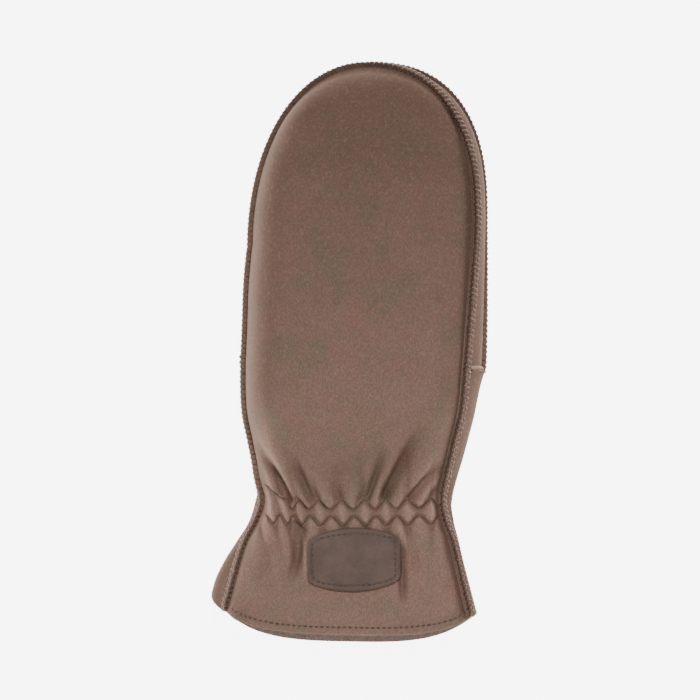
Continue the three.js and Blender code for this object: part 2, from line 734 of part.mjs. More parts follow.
// The highest that the back's outer face stands close to a place on the floor plan.
function backHeight(x, y) {
  const reach = patchWidth / 20;
  const spots = [[0, 0], [1, 0], [-1, 0], [0, 1], [0, -1]];
  return Math.max(...spots.map(([right, up]) => {
    const from = new THREE.Vector3(x + right * reach, y + up * reach, 2 * crownHeight);
    const ray = new THREE.Raycaster(from, new THREE.Vector3(0, 0, -1));
    return ray.intersectObject(back)[0].point.z;
  }));
}

const back = piece('back_panel', backPanel(), suede);
back.updateMatrixWorld();

const mitten = new THREE.Group();
mitten.position.set(-middle.x, -middle.y, 0);
mitten.add(
  back,
  piece('side_gusset', sideGusset(), suede),
  piece('palm_upper', palmUpper(), suede),
  piece('palm_lower', palmLower(), suede),
  piece('thumb_top', thumbTop(), suede),
  piece('label_patch', labelPatch(), smoothLeather),
);

export default mitten;
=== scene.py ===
# %% [markdown]
# A suede leather mitten lies on its palm, back of the hand up. The real one is cut from a few flat pieces
# of suede that meet in overcast outseams, is drawn in at the wrist by two rows of elastic, and has a bare
# leather patch on its cuff. The lesson makes each panel as a dense sheet with a real wall, from the same
# few sizes as the CAD model, and then lays every stitch on top with Geometry Nodes.

# %% Load the fixed frame
import json
import math

import bpy
import numpy as np
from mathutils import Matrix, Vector
from mathutils.bvhtree import BVHTree

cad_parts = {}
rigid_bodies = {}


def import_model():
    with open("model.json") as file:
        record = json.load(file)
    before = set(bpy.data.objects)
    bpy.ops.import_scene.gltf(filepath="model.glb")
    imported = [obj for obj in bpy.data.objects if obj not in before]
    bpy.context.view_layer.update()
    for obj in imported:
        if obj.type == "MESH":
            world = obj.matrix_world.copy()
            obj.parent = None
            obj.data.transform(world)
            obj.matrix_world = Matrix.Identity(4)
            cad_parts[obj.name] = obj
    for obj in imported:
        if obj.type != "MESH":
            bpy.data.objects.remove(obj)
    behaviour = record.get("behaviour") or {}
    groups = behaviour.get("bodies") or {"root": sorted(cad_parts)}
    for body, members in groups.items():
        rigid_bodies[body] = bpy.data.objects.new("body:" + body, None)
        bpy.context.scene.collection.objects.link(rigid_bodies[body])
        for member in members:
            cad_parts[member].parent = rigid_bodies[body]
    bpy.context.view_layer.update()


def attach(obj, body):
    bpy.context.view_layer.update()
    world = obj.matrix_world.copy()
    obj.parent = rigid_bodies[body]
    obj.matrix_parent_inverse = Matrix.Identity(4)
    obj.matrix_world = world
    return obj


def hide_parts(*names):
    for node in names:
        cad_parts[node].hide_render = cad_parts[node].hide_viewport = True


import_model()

# %% [markdown]
# The driving sizes are the real mitten's, in millimetres. Everything is worked out in millimetres and
# turned into metres once, when a mesh is made. The section table says where the two seams, the palm's edge
# and the crown lie at each place from the hem to the fingers; a smooth curve through its rows gives every
# place between.

# %% Driving sizes and the section table
MM = 0.001
LENGTH = 270.0
HALF_WIDTH = 57.5
CROWN = 36.0
WALL = 1.2
SEAM_GAP = 0.08
LIP = 2.3
THUMB_LENGTH = 64.0
THUMB_HALF = 18.0
THUMB_HEIGHT = 14.0
THUMB_CENTRE = 27.0
THUMB_SEAM = 6.0
THUMB_ROOT_SEAM = 3.2
THUMB_CLEARANCE = 1.0
CROSS_SEAM = 3.0
CROSS_ALONG = 0.465
CROSS_FADE = 12.0
HEM_SAG = 9.2
PALM_HEM_EXTRA = 4.9
HEM_POWER = 3.3
HEM_FULLNESS = 0.8
HEM_DROP = {"left": 3.7, "inner": 6.0, "outer": 6.0}
HEM_CORNER_SLOPE = 0.8
WRIST_ALONG = 0.2
ROUND_BULGE = 0.04
HEM_CORNER_ROUND = 2.0
SEAM_END = 4.0
LIP_AT_HEM = 0.3
MIDDLE = np.array((-0.36, -0.6, 0.0))
FIRST_ALONG = 0.062
CORNER_ALONG = 0.912
CORNER_SHARE = 0.1
SECTION_NAMES = ("along", "left", "inner", "outer", "bulge", "leftZ", "innerZ", "outerZ", "crown")
SECTIONS = np.array([
    (0.062, 1.017, 0.985, 0.987, 0.130, 0.45, 0.58, 0.30, 0.76),
    (0.102, 0.956, 0.928, 0.924, 0.140, 0.44, 0.58, 0.30, 0.76),
    (0.138, 0.903, 0.879, 0.872, 0.112, 0.41, 0.57, 0.30, 0.74),
    (0.171, 0.846, 0.838, 0.836, 0.070, 0.36, 0.54, 0.28, 0.70),
    (0.202, 0.769, 0.781, 0.800, 0.055, 0.32, 0.49, 0.25, 0.63),
    (0.240, 0.710, 0.749, 0.815, 0.062, 0.28, 0.45, 0.22, 0.58),
    (0.282, 0.745, 0.781, 0.871, 0.000, 0.25, 0.50, 0.24, 0.68),
    (0.310, 0.765, 0.810, 0.911, 0.000, 0.25, 0.56, 0.27, 0.78),
    (0.344, 0.797, 0.846, 0.956, 0.000, 0.25, 0.62, 0.31, 0.87),
    (0.394, 0.843, 0.903, 1.013, 0.000, 0.25, 0.70, 0.36, 0.95),
    (0.464, 0.854, 0.936, 1.062, 0.000, 0.25, 0.75, 0.40, 1.00),
    (0.526, 0.843, 0.960, 1.074, 0.000, 0.25, 0.77, 0.41, 1.00),
    (0.616, 0.828, 0.993, 1.078, 0.000, 0.25, 0.78, 0.38, 0.97),
    (0.706, 0.793, 1.021, 1.078, 0.000, 0.25, 0.77, 0.33, 0.92),
    (0.830, 0.793, 1.021, 1.078, 0.000, 0.25, 0.71, 0.28, 0.84),
    (0.912, 0.793, 1.021, 1.078, 0.000, 0.25, 0.64, 0.26, 0.78),
])
print("sections", len(SECTIONS))


# %% Helpers that shape every surface
def lerp(a, b, t):
    return a + (b - a) * t


def smooth(t):
    t = np.clip(t, 0, 1)
    return t * t * (3 - 2 * t)


def puff(t):
    return np.sqrt(1 - (1 - np.clip(t, 0, 1)) ** 2)


def y_at(along):
    return (along - 0.5) * LENGTH


def section(along, name):
    """One column of the section table at places along the length, on a smooth curve through its rows."""
    places = SECTIONS[:, 0]
    values = SECTIONS[:, SECTION_NAMES.index(name)]
    slopes = np.gradient(values, places)
    slopes[1:-1] = (values[2:] - values[:-2]) / (places[2:] - places[:-2])
    i = np.clip(np.searchsorted(places, along, side="right") - 1, 0, len(places) - 2)
    span = places[i + 1] - places[i]
    t = np.clip((along - places[i]) / span, 0, 1)
    bend = slopes[i] * t * (1 - t) ** 2 - slopes[i + 1] * t * t * (1 - t)
    return lerp(values[i], values[i + 1], t * t * (3 - 2 * t)) + span * bend


def unit(vectors):
    return vectors / np.maximum(np.linalg.norm(vectors, axis=-1, keepdims=True), 1e-9)


print("crown at the widest place", section(np.array([CROSS_ALONG]), "crown") * CROWN)

# %% [markdown]
# A seam is where two panels of suede stand face to face with their edges turned out. The fingertip's
# outline is a quarter of a superellipse for each seam, all through one top point. Each place on a seam
# carries the way out of the mitten and the way across the seam, because the panels' lips, the stitches and
# the valley beside them all follow those two directions.

# %% Seam lines
TIP_LINE = 0.146
TIP_ALONG = 0.991
TIP_HEIGHT = 0.27
TIPS = {"left": (0.673, 0.944, 2.1), "inner": (0.742, 0.875, 2.22), "outer": (0.732, 0.932, 2.55)}
FLAT_RISE = 0.15
CUFF_RISE = 0.75
RIDGE_RISE = 1.05
CROSS_Y = y_at(CROSS_ALONG)
SEAM_EDGE = SEAM_GAP / 2 + WALL


def sign_of(seam):
    return -1 if seam == "left" else 1


def reach(along, seam):
    """Plan distance of a seam from the section table's middle line."""
    start, width, power = TIPS[seam]
    rise = np.clip((along - start) / (TIP_ALONG - start), 0, 1)
    tip = (width * (1 - rise**power) ** (1 / power) + sign_of(seam) * TIP_LINE) * HALF_WIDTH
    return np.where(along <= start, section(along, seam) * HALF_WIDTH, tip)


def hem_pull(along):
    return np.clip((WRIST_ALONG - along) / (WRIST_ALONG - FIRST_ALONG), 0, 1) ** 2


def side_y(seam, along):
    return y_at(along) - hem_pull(along) * HEM_DROP[seam]


def side_points(seam, along):
    height = section(along, seam + "Z") * CROWN
    return np.stack([sign_of(seam) * reach(along, seam), side_y(seam, along), height], axis=-1)


def tip_points(seam, share):
    start, width, power = TIPS[seam]
    corner = (CORNER_ALONG - start) / (TIP_ALONG - start)
    angle = lerp(np.arcsin(corner ** (power / 2)), math.pi / 2, share)
    across = width * np.maximum(np.cos(angle), 0) ** (2 / power)
    along = lerp(start, TIP_ALONG, np.sin(angle) ** (2 / power))
    low = section(np.array([CORNER_ALONG]), seam + "Z")[0]
    height = lerp(TIP_HEIGHT, low, (1 - share) ** 0.7) * CROWN
    return np.stack([(sign_of(seam) * across + TIP_LINE) * HALF_WIDTH, y_at(along), height], axis=-1)


def lip_rise(seam, along, share):
    flat = lerp(CUFF_RISE, FLAT_RISE, smooth((along - 0.2) / 0.1))
    if seam == "left":
        return flat
    return lerp(RIDGE_RISE if seam == "inner" else 0.0, FLAT_RISE, share)


def seam_frames(points, rises):
    """Points of a seam, clockwise seen from above, with the way out and the way across towards the back."""
    tangent = unit(np.gradient(points, axis=0))
    level = unit(np.stack([-tangent[:, 1], tangent[:, 0], np.zeros(len(points))], axis=-1))
    out = level * np.cos(rises)[:, None]
    out[:, 2] = np.sin(rises)
    out = unit(out - tangent * np.sum(out * tangent, axis=-1, keepdims=True))
    return {"point": points, "out": out, "across": unit(np.cross(tangent, out)), "tangent": tangent}


def whole_seam(seam, alongs, shares):
    side = side_points(seam, alongs)
    tip = tip_points(seam, shares)
    points = np.concatenate([side, tip])
    side_rise = lip_rise(seam, alongs, 0 * alongs)
    tip_rise = lip_rise(seam, CORNER_ALONG + 0 * shares, shares)
    rises = np.concatenate([side_rise, tip_rise])
    if seam != "left":
        points, rises = points[::-1], rises[::-1]
    frames = seam_frames(points, rises)
    if alongs[0] == FIRST_ALONG:
        from_hem = points[:, 1] - points[:, 1].min()
        frames["out"] = frames["out"] * lerp(LIP_AT_HEM, 1.0, puff(from_hem / SEAM_END))[:, None]
    return frames


def part_of(seam, start, stop):
    return {key: value[start:stop] for key, value in seam.items()}


def joined(*seams):
    return {key: np.concatenate([seam[key] for seam in seams]) for key in seams[0]}


def round_seam(right, alongs, shares):
    """The left seam and one of the right ones as a single run over the fingertips."""
    return joined(whole_seam("left", alongs, shares), part_of(whole_seam(right, alongs, shares), 1, None))


def three_sides(edges, last, columns):
    """The left side, the right side and the round end of a run of edge places."""
    return edges[: last + 1], edges[::-1][: last + 1], edges[last : last + columns + 1]


print("seam edge from the seam's middle plane", SEAM_EDGE, "mm")

# %% [markdown]
# A panel is made as an open sheet of its outer face and then given its wall. The sheet is several grids
# that share their edge places, with a lip turned out along every sewn edge. Solidify could add the wall,
# but each lip has to stop at its own side of the seam, so the inner face is worked out here and held off
# the seam's middle plane.

# %% A sheet of leather
LIP_STEPS = (0.0, 0.25, 0.55, 0.85, 1.0)
LIP_ROUND = 0.35
LIP_ROUND_FROM = 0.6
SHARPEST_LEAN = 0.7


def grid_quads(numbers):
    """The faces between neighbouring rows and columns of point numbers."""
    low, high = numbers[:-1], numbers[1:]
    return np.stack([low[:, :-1], low[:, 1:], high[:, 1:], high[:, :-1]], axis=-1).reshape(-1, 4)


def rim_of(numbers):
    """A grid's left side, its last row and its right side, clockwise."""
    return np.concatenate([numbers[:, 0], numbers[-1, 1:-1], numbers[::-1, -1]])


class Sheet:
    """The outer face of one panel: points, faces, and where its edge has to stay on its side of a seam."""

    def __init__(self):
        self.blocks = []
        self.quads = []
        self.count = 0
        self.seats = []

    def add(self, points):
        """Adds an array of points and returns their numbers in the same layout."""
        points = np.asarray(points, dtype=float)
        numbers = self.count + np.arange(points[..., 0].size).reshape(points.shape[:-1])
        self.blocks.append(points.reshape(-1, 3))
        self.count += numbers.size
        return numbers

    def points(self):
        return np.concatenate(self.blocks)

    def grid(self, numbers):
        self.quads.append(grid_quads(numbers))

    def lip(self, numbers, outs, planes, normals):
        """Turns out a lip along edge places, walked clockwise round the panel as its outer face is seen."""
        edge = self.points()[numbers]
        rows = [numbers]
        for step in LIP_STEPS[1:]:
            inset = LIP_ROUND * np.maximum(0, step - LIP_ROUND_FROM) ** 2
            rows.append(self.add(edge + outs * (LIP * step) - normals * inset))
        self.grid(np.stack(rows))
        for row in rows:
            self.seats.append((row, planes, normals))

    def lips(self, stretches, step=1):
        """One lip along several stretches of edge, each with its numbers, outs, planes and normals."""
        self.lip(*[np.concatenate(arrays)[::step] for arrays in zip(*stretches)])

    def solid(self, name):
        """The panel with its wall. Its inner face is held off the seams' middle planes."""
        points = self.points()
        quads = np.concatenate(self.quads)
        across = points[quads[:, 2]] - points[quads[:, 0]]
        faces = unit(np.cross(across, points[quads[:, 3]] - points[quads[:, 1]]))
        normals = np.zeros_like(points)
        for corner in range(4):
            np.add.at(normals, quads[:, corner], faces)
        normals = unit(normals)
        lean = np.ones(len(points))
        for corner in range(4):
            numbers = quads[:, corner]
            np.minimum.at(lean, numbers, np.sum(normals[numbers] * faces, axis=-1))
        inner = points - normals * (WALL / np.maximum(lean, SHARPEST_LEAN))[:, None]
        for numbers, planes, sides in self.seats:
            depth = np.sum((inner[numbers] - planes) * sides, axis=-1)
            inner[numbers] += sides * np.maximum(0, SEAM_GAP / 2 - depth)[:, None]
        count = len(points)
        starts = quads.reshape(-1)
        ends = np.roll(quads, -1, axis=1).reshape(-1)
        forward = starts * count + ends
        open_edges = ~np.isin(forward, ends * count + starts)
        a, b = starts[open_edges], ends[open_edges]
        rim = np.stack([b, a, a + count, b + count], axis=-1)
        faces = np.concatenate([quads, quads[:, ::-1] + count, rim])
        piece = mesh_object(name, np.concatenate([points, inner]), faces)
        # steep is the outer face's slope; the suede's colour takes painted shade from it, darkening the
        # flanks that the glowing table lights.
        steep = np.sqrt(1 - np.minimum(normals[:, 2] ** 2, 1))
        inside = np.repeat((0.0, 1.0), count)
        for numbers, _, _ in self.seats:
            inside[numbers + count] = 0
        paint(piece, {"steep": steep, "inside": inside})
        return piece


def in_metres(points):
    """Places in metres about the mitten's own middle, from millimetres about the table's."""
    return (np.asarray(points) - MIDDLE) * MM


def in_scene(name, data):
    """A new object in the scene for a mesh, a lamp or a camera."""
    made = bpy.data.objects.new(name, data)
    bpy.context.scene.collection.objects.link(made)
    return made


def mesh_object(name, points, faces):
    """An object at the origin whose mesh holds its place."""
    mesh = bpy.data.meshes.new(name)
    mesh.from_pydata(in_metres(points).tolist(), [], [tuple(face) for face in np.asarray(faces).tolist()])
    mesh.validate()
    mesh.shade_smooth()
    print(name, len(mesh.vertices), "vertices", len(mesh.loops) - 2 * len(mesh.polygons), "triangles")
    return in_scene(name, mesh)


def paint(piece, marks):
    """Keeps marks from 0 to 1 at a mesh's first points, for the leather's colour: mostly painted light and
    shade.
    """
    count = len(piece.data.vertices)
    for name, values in marks.items():
        whole = np.zeros(count, dtype=np.float32)
        whole[: values.size] = values.ravel()
        attribute = piece.data.attributes.new(name, "FLOAT", "POINT")
        attribute.data.foreach_set("value", whole)


print("a lip is", LIP, "mm high in", len(LIP_STEPS), "rows")

# %% [markdown]
# The elastic is sewn under the wrist by two zigzag rows. Between them the suede stands up in small pillows,
# and outside them it is gathered in short waves. They could be sculpted, but one wave of the place on the
# plan gives every pillow, groove and gather in step, and the same functions later lay the elastic's thread
# in its grooves.

# %% Pleats between the elastic's rows
PLEATS = (-0.94, -0.80, -0.665, -0.545, -0.43, -0.27, -0.08, 0.11, 0.285, 0.46, 0.66, 0.82, 0.96)
ELASTIC_Y = -74.8
ELASTIC_BOW = 1.2
ROW_APART = 3.75
ZIGZAG = 2.35
ZIGZAG_CURVE = 0.7
PLEAT_HEIGHT = 2.4
GROOVE = 0.5
GROOVE_WIDTH = 0.6
GATHER_REACH = 11.0
GATHER_HEIGHT = 3.4
PLEAT_LEAN = 0.132
PLEAT_FAN = 0.004
CLIMB = 6.5
CLIMB_FROM = -0.5
CLIMB_REACH = 0.2
CREASE_SHADE_WIDTH = 0.42
ROW_SLOPE = math.sqrt(1.6)
CREASE_LEFT = 0.15
PILLOW_RISE = 4.0
GATHER_RISE = 1.1
GATHER_FALL = 1.6
GATHER_LEVEL = 0.55
GATHER_BELOW = 0.8


def elastic_middle(x):
    return ELASTIC_Y - ELASTIC_BOW * (1 - (x / (0.85 * HALF_WIDTH)) ** 2)


def pleat_wave(x, y):
    """1 in the middle of a pleat and -1 between two, in step with the elastic's zigzag."""
    lean = PLEAT_LEAN - PLEAT_FAN * x
    straight = x - lean * (elastic_middle(x) + ROW_APART + ZIGZAG - y)
    count = np.interp(straight / HALF_WIDTH, PLEATS, np.arange(len(PLEATS)))
    return np.cos(2 * math.pi * count)


def zigzag_offset(wave):
    return ZIGZAG * lerp((2 / math.pi) * np.arcsin(np.clip(wave, -1, 1)), wave, ZIGZAG_CURVE)


def row_distance(x, wave, upper):
    """How far a zigzag row lies from the elastic's middle. The upper row climbs beside the left seam."""
    climb = np.where(upper, np.clip(CLIMB_FROM - x / HALF_WIDTH, 0, CLIMB_REACH), 0) / CLIMB_REACH
    return ROW_APART + lerp(zigzag_offset(wave), ZIGZAG + CLIMB * climb, puff(climb))


def inside_rows(x, y):
    """How far a place lies inside the two zigzag rows, and how far it is from their middle."""
    from_middle = y - elastic_middle(x)
    row = row_distance(x, pleat_wave(x, y), from_middle > 0)
    return (row - np.abs(from_middle)) / ROW_SLOPE, from_middle


def crease_shade(x, y):
    """1 in the deep creases between two pillows, for the painted shade in the leather's colour."""
    middle = np.sqrt((1 + pleat_wave(x, y)) / 2)
    return np.exp(-((middle / CREASE_SHADE_WIDTH) ** 2)) * smooth(inside_rows(x, y)[0] / 0.8)


def elastic_height(x, y):
    """Pillows between the rows, creased where these come close, and gathers with sharp valleys beyond."""
    wave = pleat_wave(x, y)
    crease = (1 + wave) / 2
    round_top = np.sqrt((1 - wave) / 2)
    distance, from_middle = inside_rows(x, y)
    inside = smooth(distance / 2.0 + 0.1)
    pillow = PLEAT_HEIGHT * puff(distance / PILLOW_RISE) * inside * lerp(CREASE_LEFT, 1.0, crease)
    beyond = np.maximum(0, -distance)
    side_reach = np.where(from_middle > 0, GATHER_REACH, GATHER_BELOW * GATHER_REACH)
    fall = smooth(beyond / GATHER_RISE) * np.exp(-GATHER_FALL * beyond / side_reach)
    gather = GATHER_HEIGHT * (round_top - GATHER_LEVEL) * fall
    groove = -GROOVE * np.exp(-((distance / GROOVE_WIDTH) ** 2))
    return pillow + gather + groove


print("pleats", len(PLEATS))

# %% [markdown]
# Long folds run into the elastic from both sides, because the wide hand and the wide cuff are drawn
# together there. A cloth simulation would make folds of its own, so these are drawn where the photograph
# shows them: each is a ridge or a valley along a bent line, tapered at both ends and steeper on one side. A
# faint unevenness comes with them, which no flat-cut glove is free of.

# %% Folds of the back
# x and along are where a fold starts and ends, as shares of the half width and of the length. bow is how far
# its middle stands to the right, as a share of the half width. width and depth are millimetres, with a depth
# under zero for a valley. start and end are the shares of its run that it takes to grow and to die out. lean
# makes its right side steep, or its left side when it is under zero.
FOLDS = [
    (-0.797, 0.344, -0.468, 0.228, 0.045, 2.5, -4.3, 0.6, 0.12, 0.45),
    (-0.806, 0.388, -0.38, 0.228, -0.01, 3.0, 2.0, 0.5, 0.15, -0.4),
    (-0.757, 0.313, -0.49, 0.226, 0.04, 2.3, 1.7, 0.5, 0.15, 0.3),
    (-0.49, 0.330, -0.285, 0.232, 0.0, 2.0, -2.7, 0.6, 0.15, 0.35),
    (-0.42, 0.325, -0.19, 0.228, 0.0, 2.4, 1.3, 0.5, 0.2, -0.3),
    (-0.17, 0.285, -0.085, 0.234, 0.0, 1.7, -1.1, 0.6, 0.2, 0.0),
    (0.15, 0.282, 0.05, 0.225, 0.0, 1.6, -1.2, 0.6, 0.2, 0.0),
    (0.19, 0.316, 0.09, 0.24, 0.0, 2.2, 0.7, 0.5, 0.2, 0.2),
    (0.295, 0.34, 0.125, 0.234, 0.005, 1.5, -2.9, 0.65, 0.15, 0.15),
    (0.37, 0.325, 0.185, 0.226, 0.0, 2.2, 1.4, 0.5, 0.15, 0.1),
    (0.61, 0.385, 0.245, 0.234, -0.014, 3.1, -3.8, 0.55, 0.15, -0.4),
    (0.735, 0.33, 0.38, 0.228, 0.0, 2.6, 1.4, 0.5, 0.15, 0.1),
    (0.725, 0.314, 0.445, 0.236, 0.0, 1.9, -2.6, 0.5, 0.15, -0.4),
    (0.747, 0.29, 0.53, 0.226, 0.0, 2.0, 1.6, 0.4, 0.15, 0.2),
    (-0.423, 0.215, -0.52, 0.085, 0.055, 3.0, -3.1, 0.12, 0.5, 0.45),
    (-0.405, 0.195, -0.40, 0.08, 0.05, 2.4, 1.8, 0.3, 0.4, -0.3),
    (-0.488, 0.204, -0.53, 0.10, 0.03, 2.2, 1.3, 0.25, 0.4, 0.2),
    (-0.62, 0.185, -0.72, 0.08, 0.0, 4.5, -1.1, 0.3, 0.4, 0.0),
    (0.408, 0.175, 0.425, 0.052, 0.0, 1.7, -2.5, 0.2, 0.35, -0.2),
    (0.374, 0.209, 0.47, 0.145, 0.01, 2.1, 1.7, 0.2, 0.35, 0.2),
    (0.505, 0.175, 0.54, 0.11, 0.0, 2.2, -0.9, 0.4, 0.4, 0.0),
    (0.70, 0.088, 0.86, 0.101, 0.0, 1.8, -0.8, 0.4, 0.4, 0.0),
]
FOLD_NARROWS = (1.25, 0.75)
LEAN_REACH = 0.3


def fold_height(x, y):
    total = np.zeros_like(x)
    for x0, along0, x1, along1, bow, width, depth, start, end, lean in FOLDS:
        ax, ay = x0 * HALF_WIDTH, y_at(along0)
        bx, by = x1 * HALF_WIDTH - ax, y_at(along1) - ay
        run = math.hypot(bx, by)
        t = ((x - ax) * bx + (y - ay) * by) / run**2
        away = ((y - ay) * bx - (x - ax) * by) / run
        share = np.clip(t, 0, 1)
        away = away - bow * HALF_WIDTH * 4 * share * (1 - share)
        steeper = 1 - lean * np.tanh(away / (LEAN_REACH * width))
        spread = width * lerp(*FOLD_NARROWS, share) * steeper
        ends = smooth(t / start) * smooth((1 - t) / end)
        total += depth * ends * np.exp(-((away / spread) ** 2))
    return total * smooth(-inside_rows(x, y)[0] / 1.2)


def unevenness(x, y):
    """Slow, shallow waves of several sizes, the same at each run."""
    slow = np.sin(x / 17.0 + 0.7) * np.sin(y / 23.0 + 1.9)
    slow = slow + np.sin((x + y) / 13.0) * np.sin((x - 1.7 * y) / 19.0 + 0.5)
    fine = np.sin(x / 5.3 + np.sin(y / 7.1)) * np.sin(y / 6.1 + np.sin(x / 8.3) + 0.4)
    return 0.28 * slow + 0.09 * fine


print("folds", len(FOLDS))

# %% [markdown]
# The plan of the back comes from its four edges: the two seams, the hem and the round tip. Rows run
# straight across where the sides are straight and bend with the hem and the tip only near them, so the grid
# has no pole at the tip and the rows at the wrist can lie almost five times as close as the hand's.

# %% The back's outer face
ROW_BREAKS = (FIRST_ALONG, 0.171, 0.30, CROSS_ALONG, CORNER_ALONG)
BACK_ROUND = 0.2
TIP_ROUND = 0.045
SEAM_DIP = 0.7
SEAM_DIP_WIDTH = 1.3
RIDGE_DIP = 1.6
RIDGE_DIP_WIDTH = 3.4
TIP_PULL_FROM = 0.66
TIP_SPREAD = 60.0
RELIEF_FADE = {"side": 0.05, "tip": 0.02}
EDGE_FADE = {"side": 0.012, "tip": 0.01, "hem": 0.03}
GATHERED_FROM = 0.07
GATHERED_TO = 0.44
# Sizes of the marks that paint highlights and shade into the back's colour.
CREST_HIGHLIGHT_FULL = 2.2
GROOVE_SHADE_FULL = 3.6
SEAM_HIGHLIGHT_PLACE = 3.2
SEAM_HIGHLIGHT_WIDTH = 2.2
VALLEY_SHADE_PLACE = 0.7
VALLEY_SHADE_WIDTH = 1.3
HEM_ROLL = 0.35
HEM_ROLL_PLACE = 0.9
HEM_ROLL_WIDTH = 0.7
HEM_GROOVE = 0.45
HEM_GROOVE_WIDTH = 0.5
HEM_INSET = 2.0


def seam_relief(from_left, from_right):
    """The suede is pulled down beside its stitches, most of all beside the standing ridge on the right."""
    left = SEAM_DIP * np.exp(-((from_left / SEAM_DIP_WIDTH) ** 2))
    right = RIDGE_DIP * np.exp(-((from_right / RIDGE_DIP_WIDTH) ** 2))
    return -left - right


def hem_relief(from_hem):
    roll = HEM_ROLL * np.exp(-(((from_hem - HEM_ROLL_PLACE) / HEM_ROLL_WIDTH) ** 2))
    return roll - HEM_GROOVE * np.exp(-(((from_hem - HEM_INSET) / HEM_GROOVE_WIDTH) ** 2))


def row_places(counts, last=4):
    parts = [np.array([FIRST_ALONG])]
    for k in range(last):
        parts.append(np.linspace(ROW_BREAKS[k], ROW_BREAKS[k + 1], counts[k] + 1)[1:])
    return np.concatenate(parts)


def even_columns(count):
    t = np.linspace(0, 1, count + 1)
    return lerp(t, (1 - np.cos(math.pi * t)) / 2, 0.5)


def hem_curve(u, extra):
    return -(HEM_SAG + extra) * (1 - np.abs(2 * u - 1) ** HEM_POWER) ** HEM_FULLNESS


def tip_pull(along):
    return np.clip((along - TIP_PULL_FROM) / (CORNER_ALONG - TIP_PULL_FROM), 0, 1) ** 2


def back_plan(u, alongs):
    """The back's grid between its seams, level from side to side, with the seams and the round tip's edge."""
    columns = len(u) - 1
    last = len(alongs) - 1
    seams = round_seam("inner", alongs, 2 * u[1 : columns // 2 + 1])
    left, right, arc = three_sides(seams["point"] + seams["across"] * SEAM_EDGE, last, columns)
    points = lerp(left[:, None], right[:, None], u[None, :, None])
    chord = lerp(arc[0], arc[-1], u[:, None])
    points = points + tip_pull(alongs)[:, None, None] * (arc - chord)[None]
    points[..., 1] += hem_pull(alongs)[:, None] * hem_curve(u, 0)[None]
    return points, seams, arc, np.linalg.norm(right - left, axis=-1)[:, None]


def back_face(columns, rows):
    """The back's grid with its heights, and the marks of painted highlight and shade for its colour."""
    u = even_columns(columns)
    alongs = row_places(rows)
    points, seams, arc, width = back_plan(u, alongs)
    x, y = points[..., 0], points[..., 1]
    near = np.minimum(u, 1 - u)[None, :]
    tip_away = (CORNER_ALONG - alongs)[:, None]
    swell = puff(near / BACK_ROUND) * puff(tip_away / TIP_ROUND)
    crown = section(alongs, "crown")[:, None] * CROWN
    seam_fade = smooth(near / RELIEF_FADE["side"]) * smooth(tip_away / RELIEF_FADE["tip"])
    relief = fold_height(x, y) + elastic_height(x, y)
    from_left = np.minimum(u[None] * width, TIP_SPREAD * tip_away + 0 * width)
    from_right = (1 - u)[None] * width
    edge_relief = seam_relief(from_left, from_right) * smooth(near / EDGE_FADE["side"])
    edge_relief = edge_relief * smooth(tip_away / EDGE_FADE["tip"])
    from_hem = (alongs - FIRST_ALONG)[:, None] * LENGTH
    edge_relief = edge_relief + hem_relief(from_hem) * smooth(near / EDGE_FADE["hem"])
    detail = (relief + unevenness(x, y)) * seam_fade + edge_relief
    points[..., 2] += (crown - points[..., 2]) * swell + detail
    points[-1] = arc
    gathered_along = smooth((alongs - GATHERED_FROM) / 0.03) * smooth((GATHERED_TO - alongs) / 0.08)
    # The marks paint light into the suede's colour: crest is a painted highlight on fold and pillow tops,
    # groove is painted shade in fold bottoms and pillow creases, seam is a painted highlight strip beside the
    # left seam, valley is painted shade beside the right seam's ridge, and gathered holds back the painted
    # shade of steep slopes.
    marks = {
        "gathered": smooth((near - 0.02) / 0.06) * gathered_along[:, None],
        "crest": np.clip(relief * seam_fade / CREST_HIGHLIGHT_FULL, 0, 1),
        "groove": np.clip(-relief / GROOVE_SHADE_FULL + 0.4 * crease_shade(x, y), 0, 1) * seam_fade,
        "seam": np.exp(-(((from_left - SEAM_HIGHLIGHT_PLACE) / SEAM_HIGHLIGHT_WIDTH) ** 2)),
        "valley": np.exp(-(((from_right - VALLEY_SHADE_PLACE) / VALLEY_SHADE_WIDTH) ** 2)),
    }
    return points, seams, marks


def back_panel(columns, rows):
    sheet = Sheet()
    points, seams, marks = back_face(columns, rows)
    numbers = sheet.add(points)
    sheet.grid(numbers)
    sheet.lip(rim_of(numbers), seams["out"], seams["point"], seams["across"])
    piece = sheet.solid("back_suede")
    paint(piece, marks)
    return piece


back = back_panel(190, (36, 112, 30, 54))

# %% [markdown]
# The underside is two palm panels and the thumb. The lower palm runs from the hem to the seam across the
# palm, wraps up to the ridge on the gusset's side, and goes on as a tongue that is the thumb's lower half.
# The thumb lies under the upper palm, which arches over it. None of this shows in the photograph, so it is
# made plainly.

# %% Heights of the underside
MOUTH = (THUMB_CENTRE - THUMB_HALF, THUMB_CENTRE + THUMB_HALF)
THUMB_ROUND = CROSS_Y + THUMB_LENGTH - THUMB_HALF
THUMB_CORNER = THUMB_ROUND + THUMB_HALF * math.sqrt(0.5)
MOUTH_ROLL = 8.0
BED_ROLL = 7.0
HUMP_REACH = 16.0
SIDE_LIP = 0.3


def thumb_seam_height(y):
    return lerp(THUMB_ROOT_SEAM, THUMB_SEAM, smooth((y - CROSS_Y) / CROSS_FADE))


def inside_mouth(x):
    return np.minimum(x - MOUTH[0], MOUTH[1] - x)


def lower_floor(x, y):
    inside = inside_mouth(x)
    root = THUMB_ROOT_SEAM - SEAM_EDGE
    beside = lerp(root, CROSS_SEAM, smooth(-inside / CROSS_FADE))
    ridge = np.where(inside > 0, root * (1 - puff(inside / BED_ROLL)), beside)
    return (1 - smooth((CROSS_Y - y) / CROSS_FADE)) * ridge


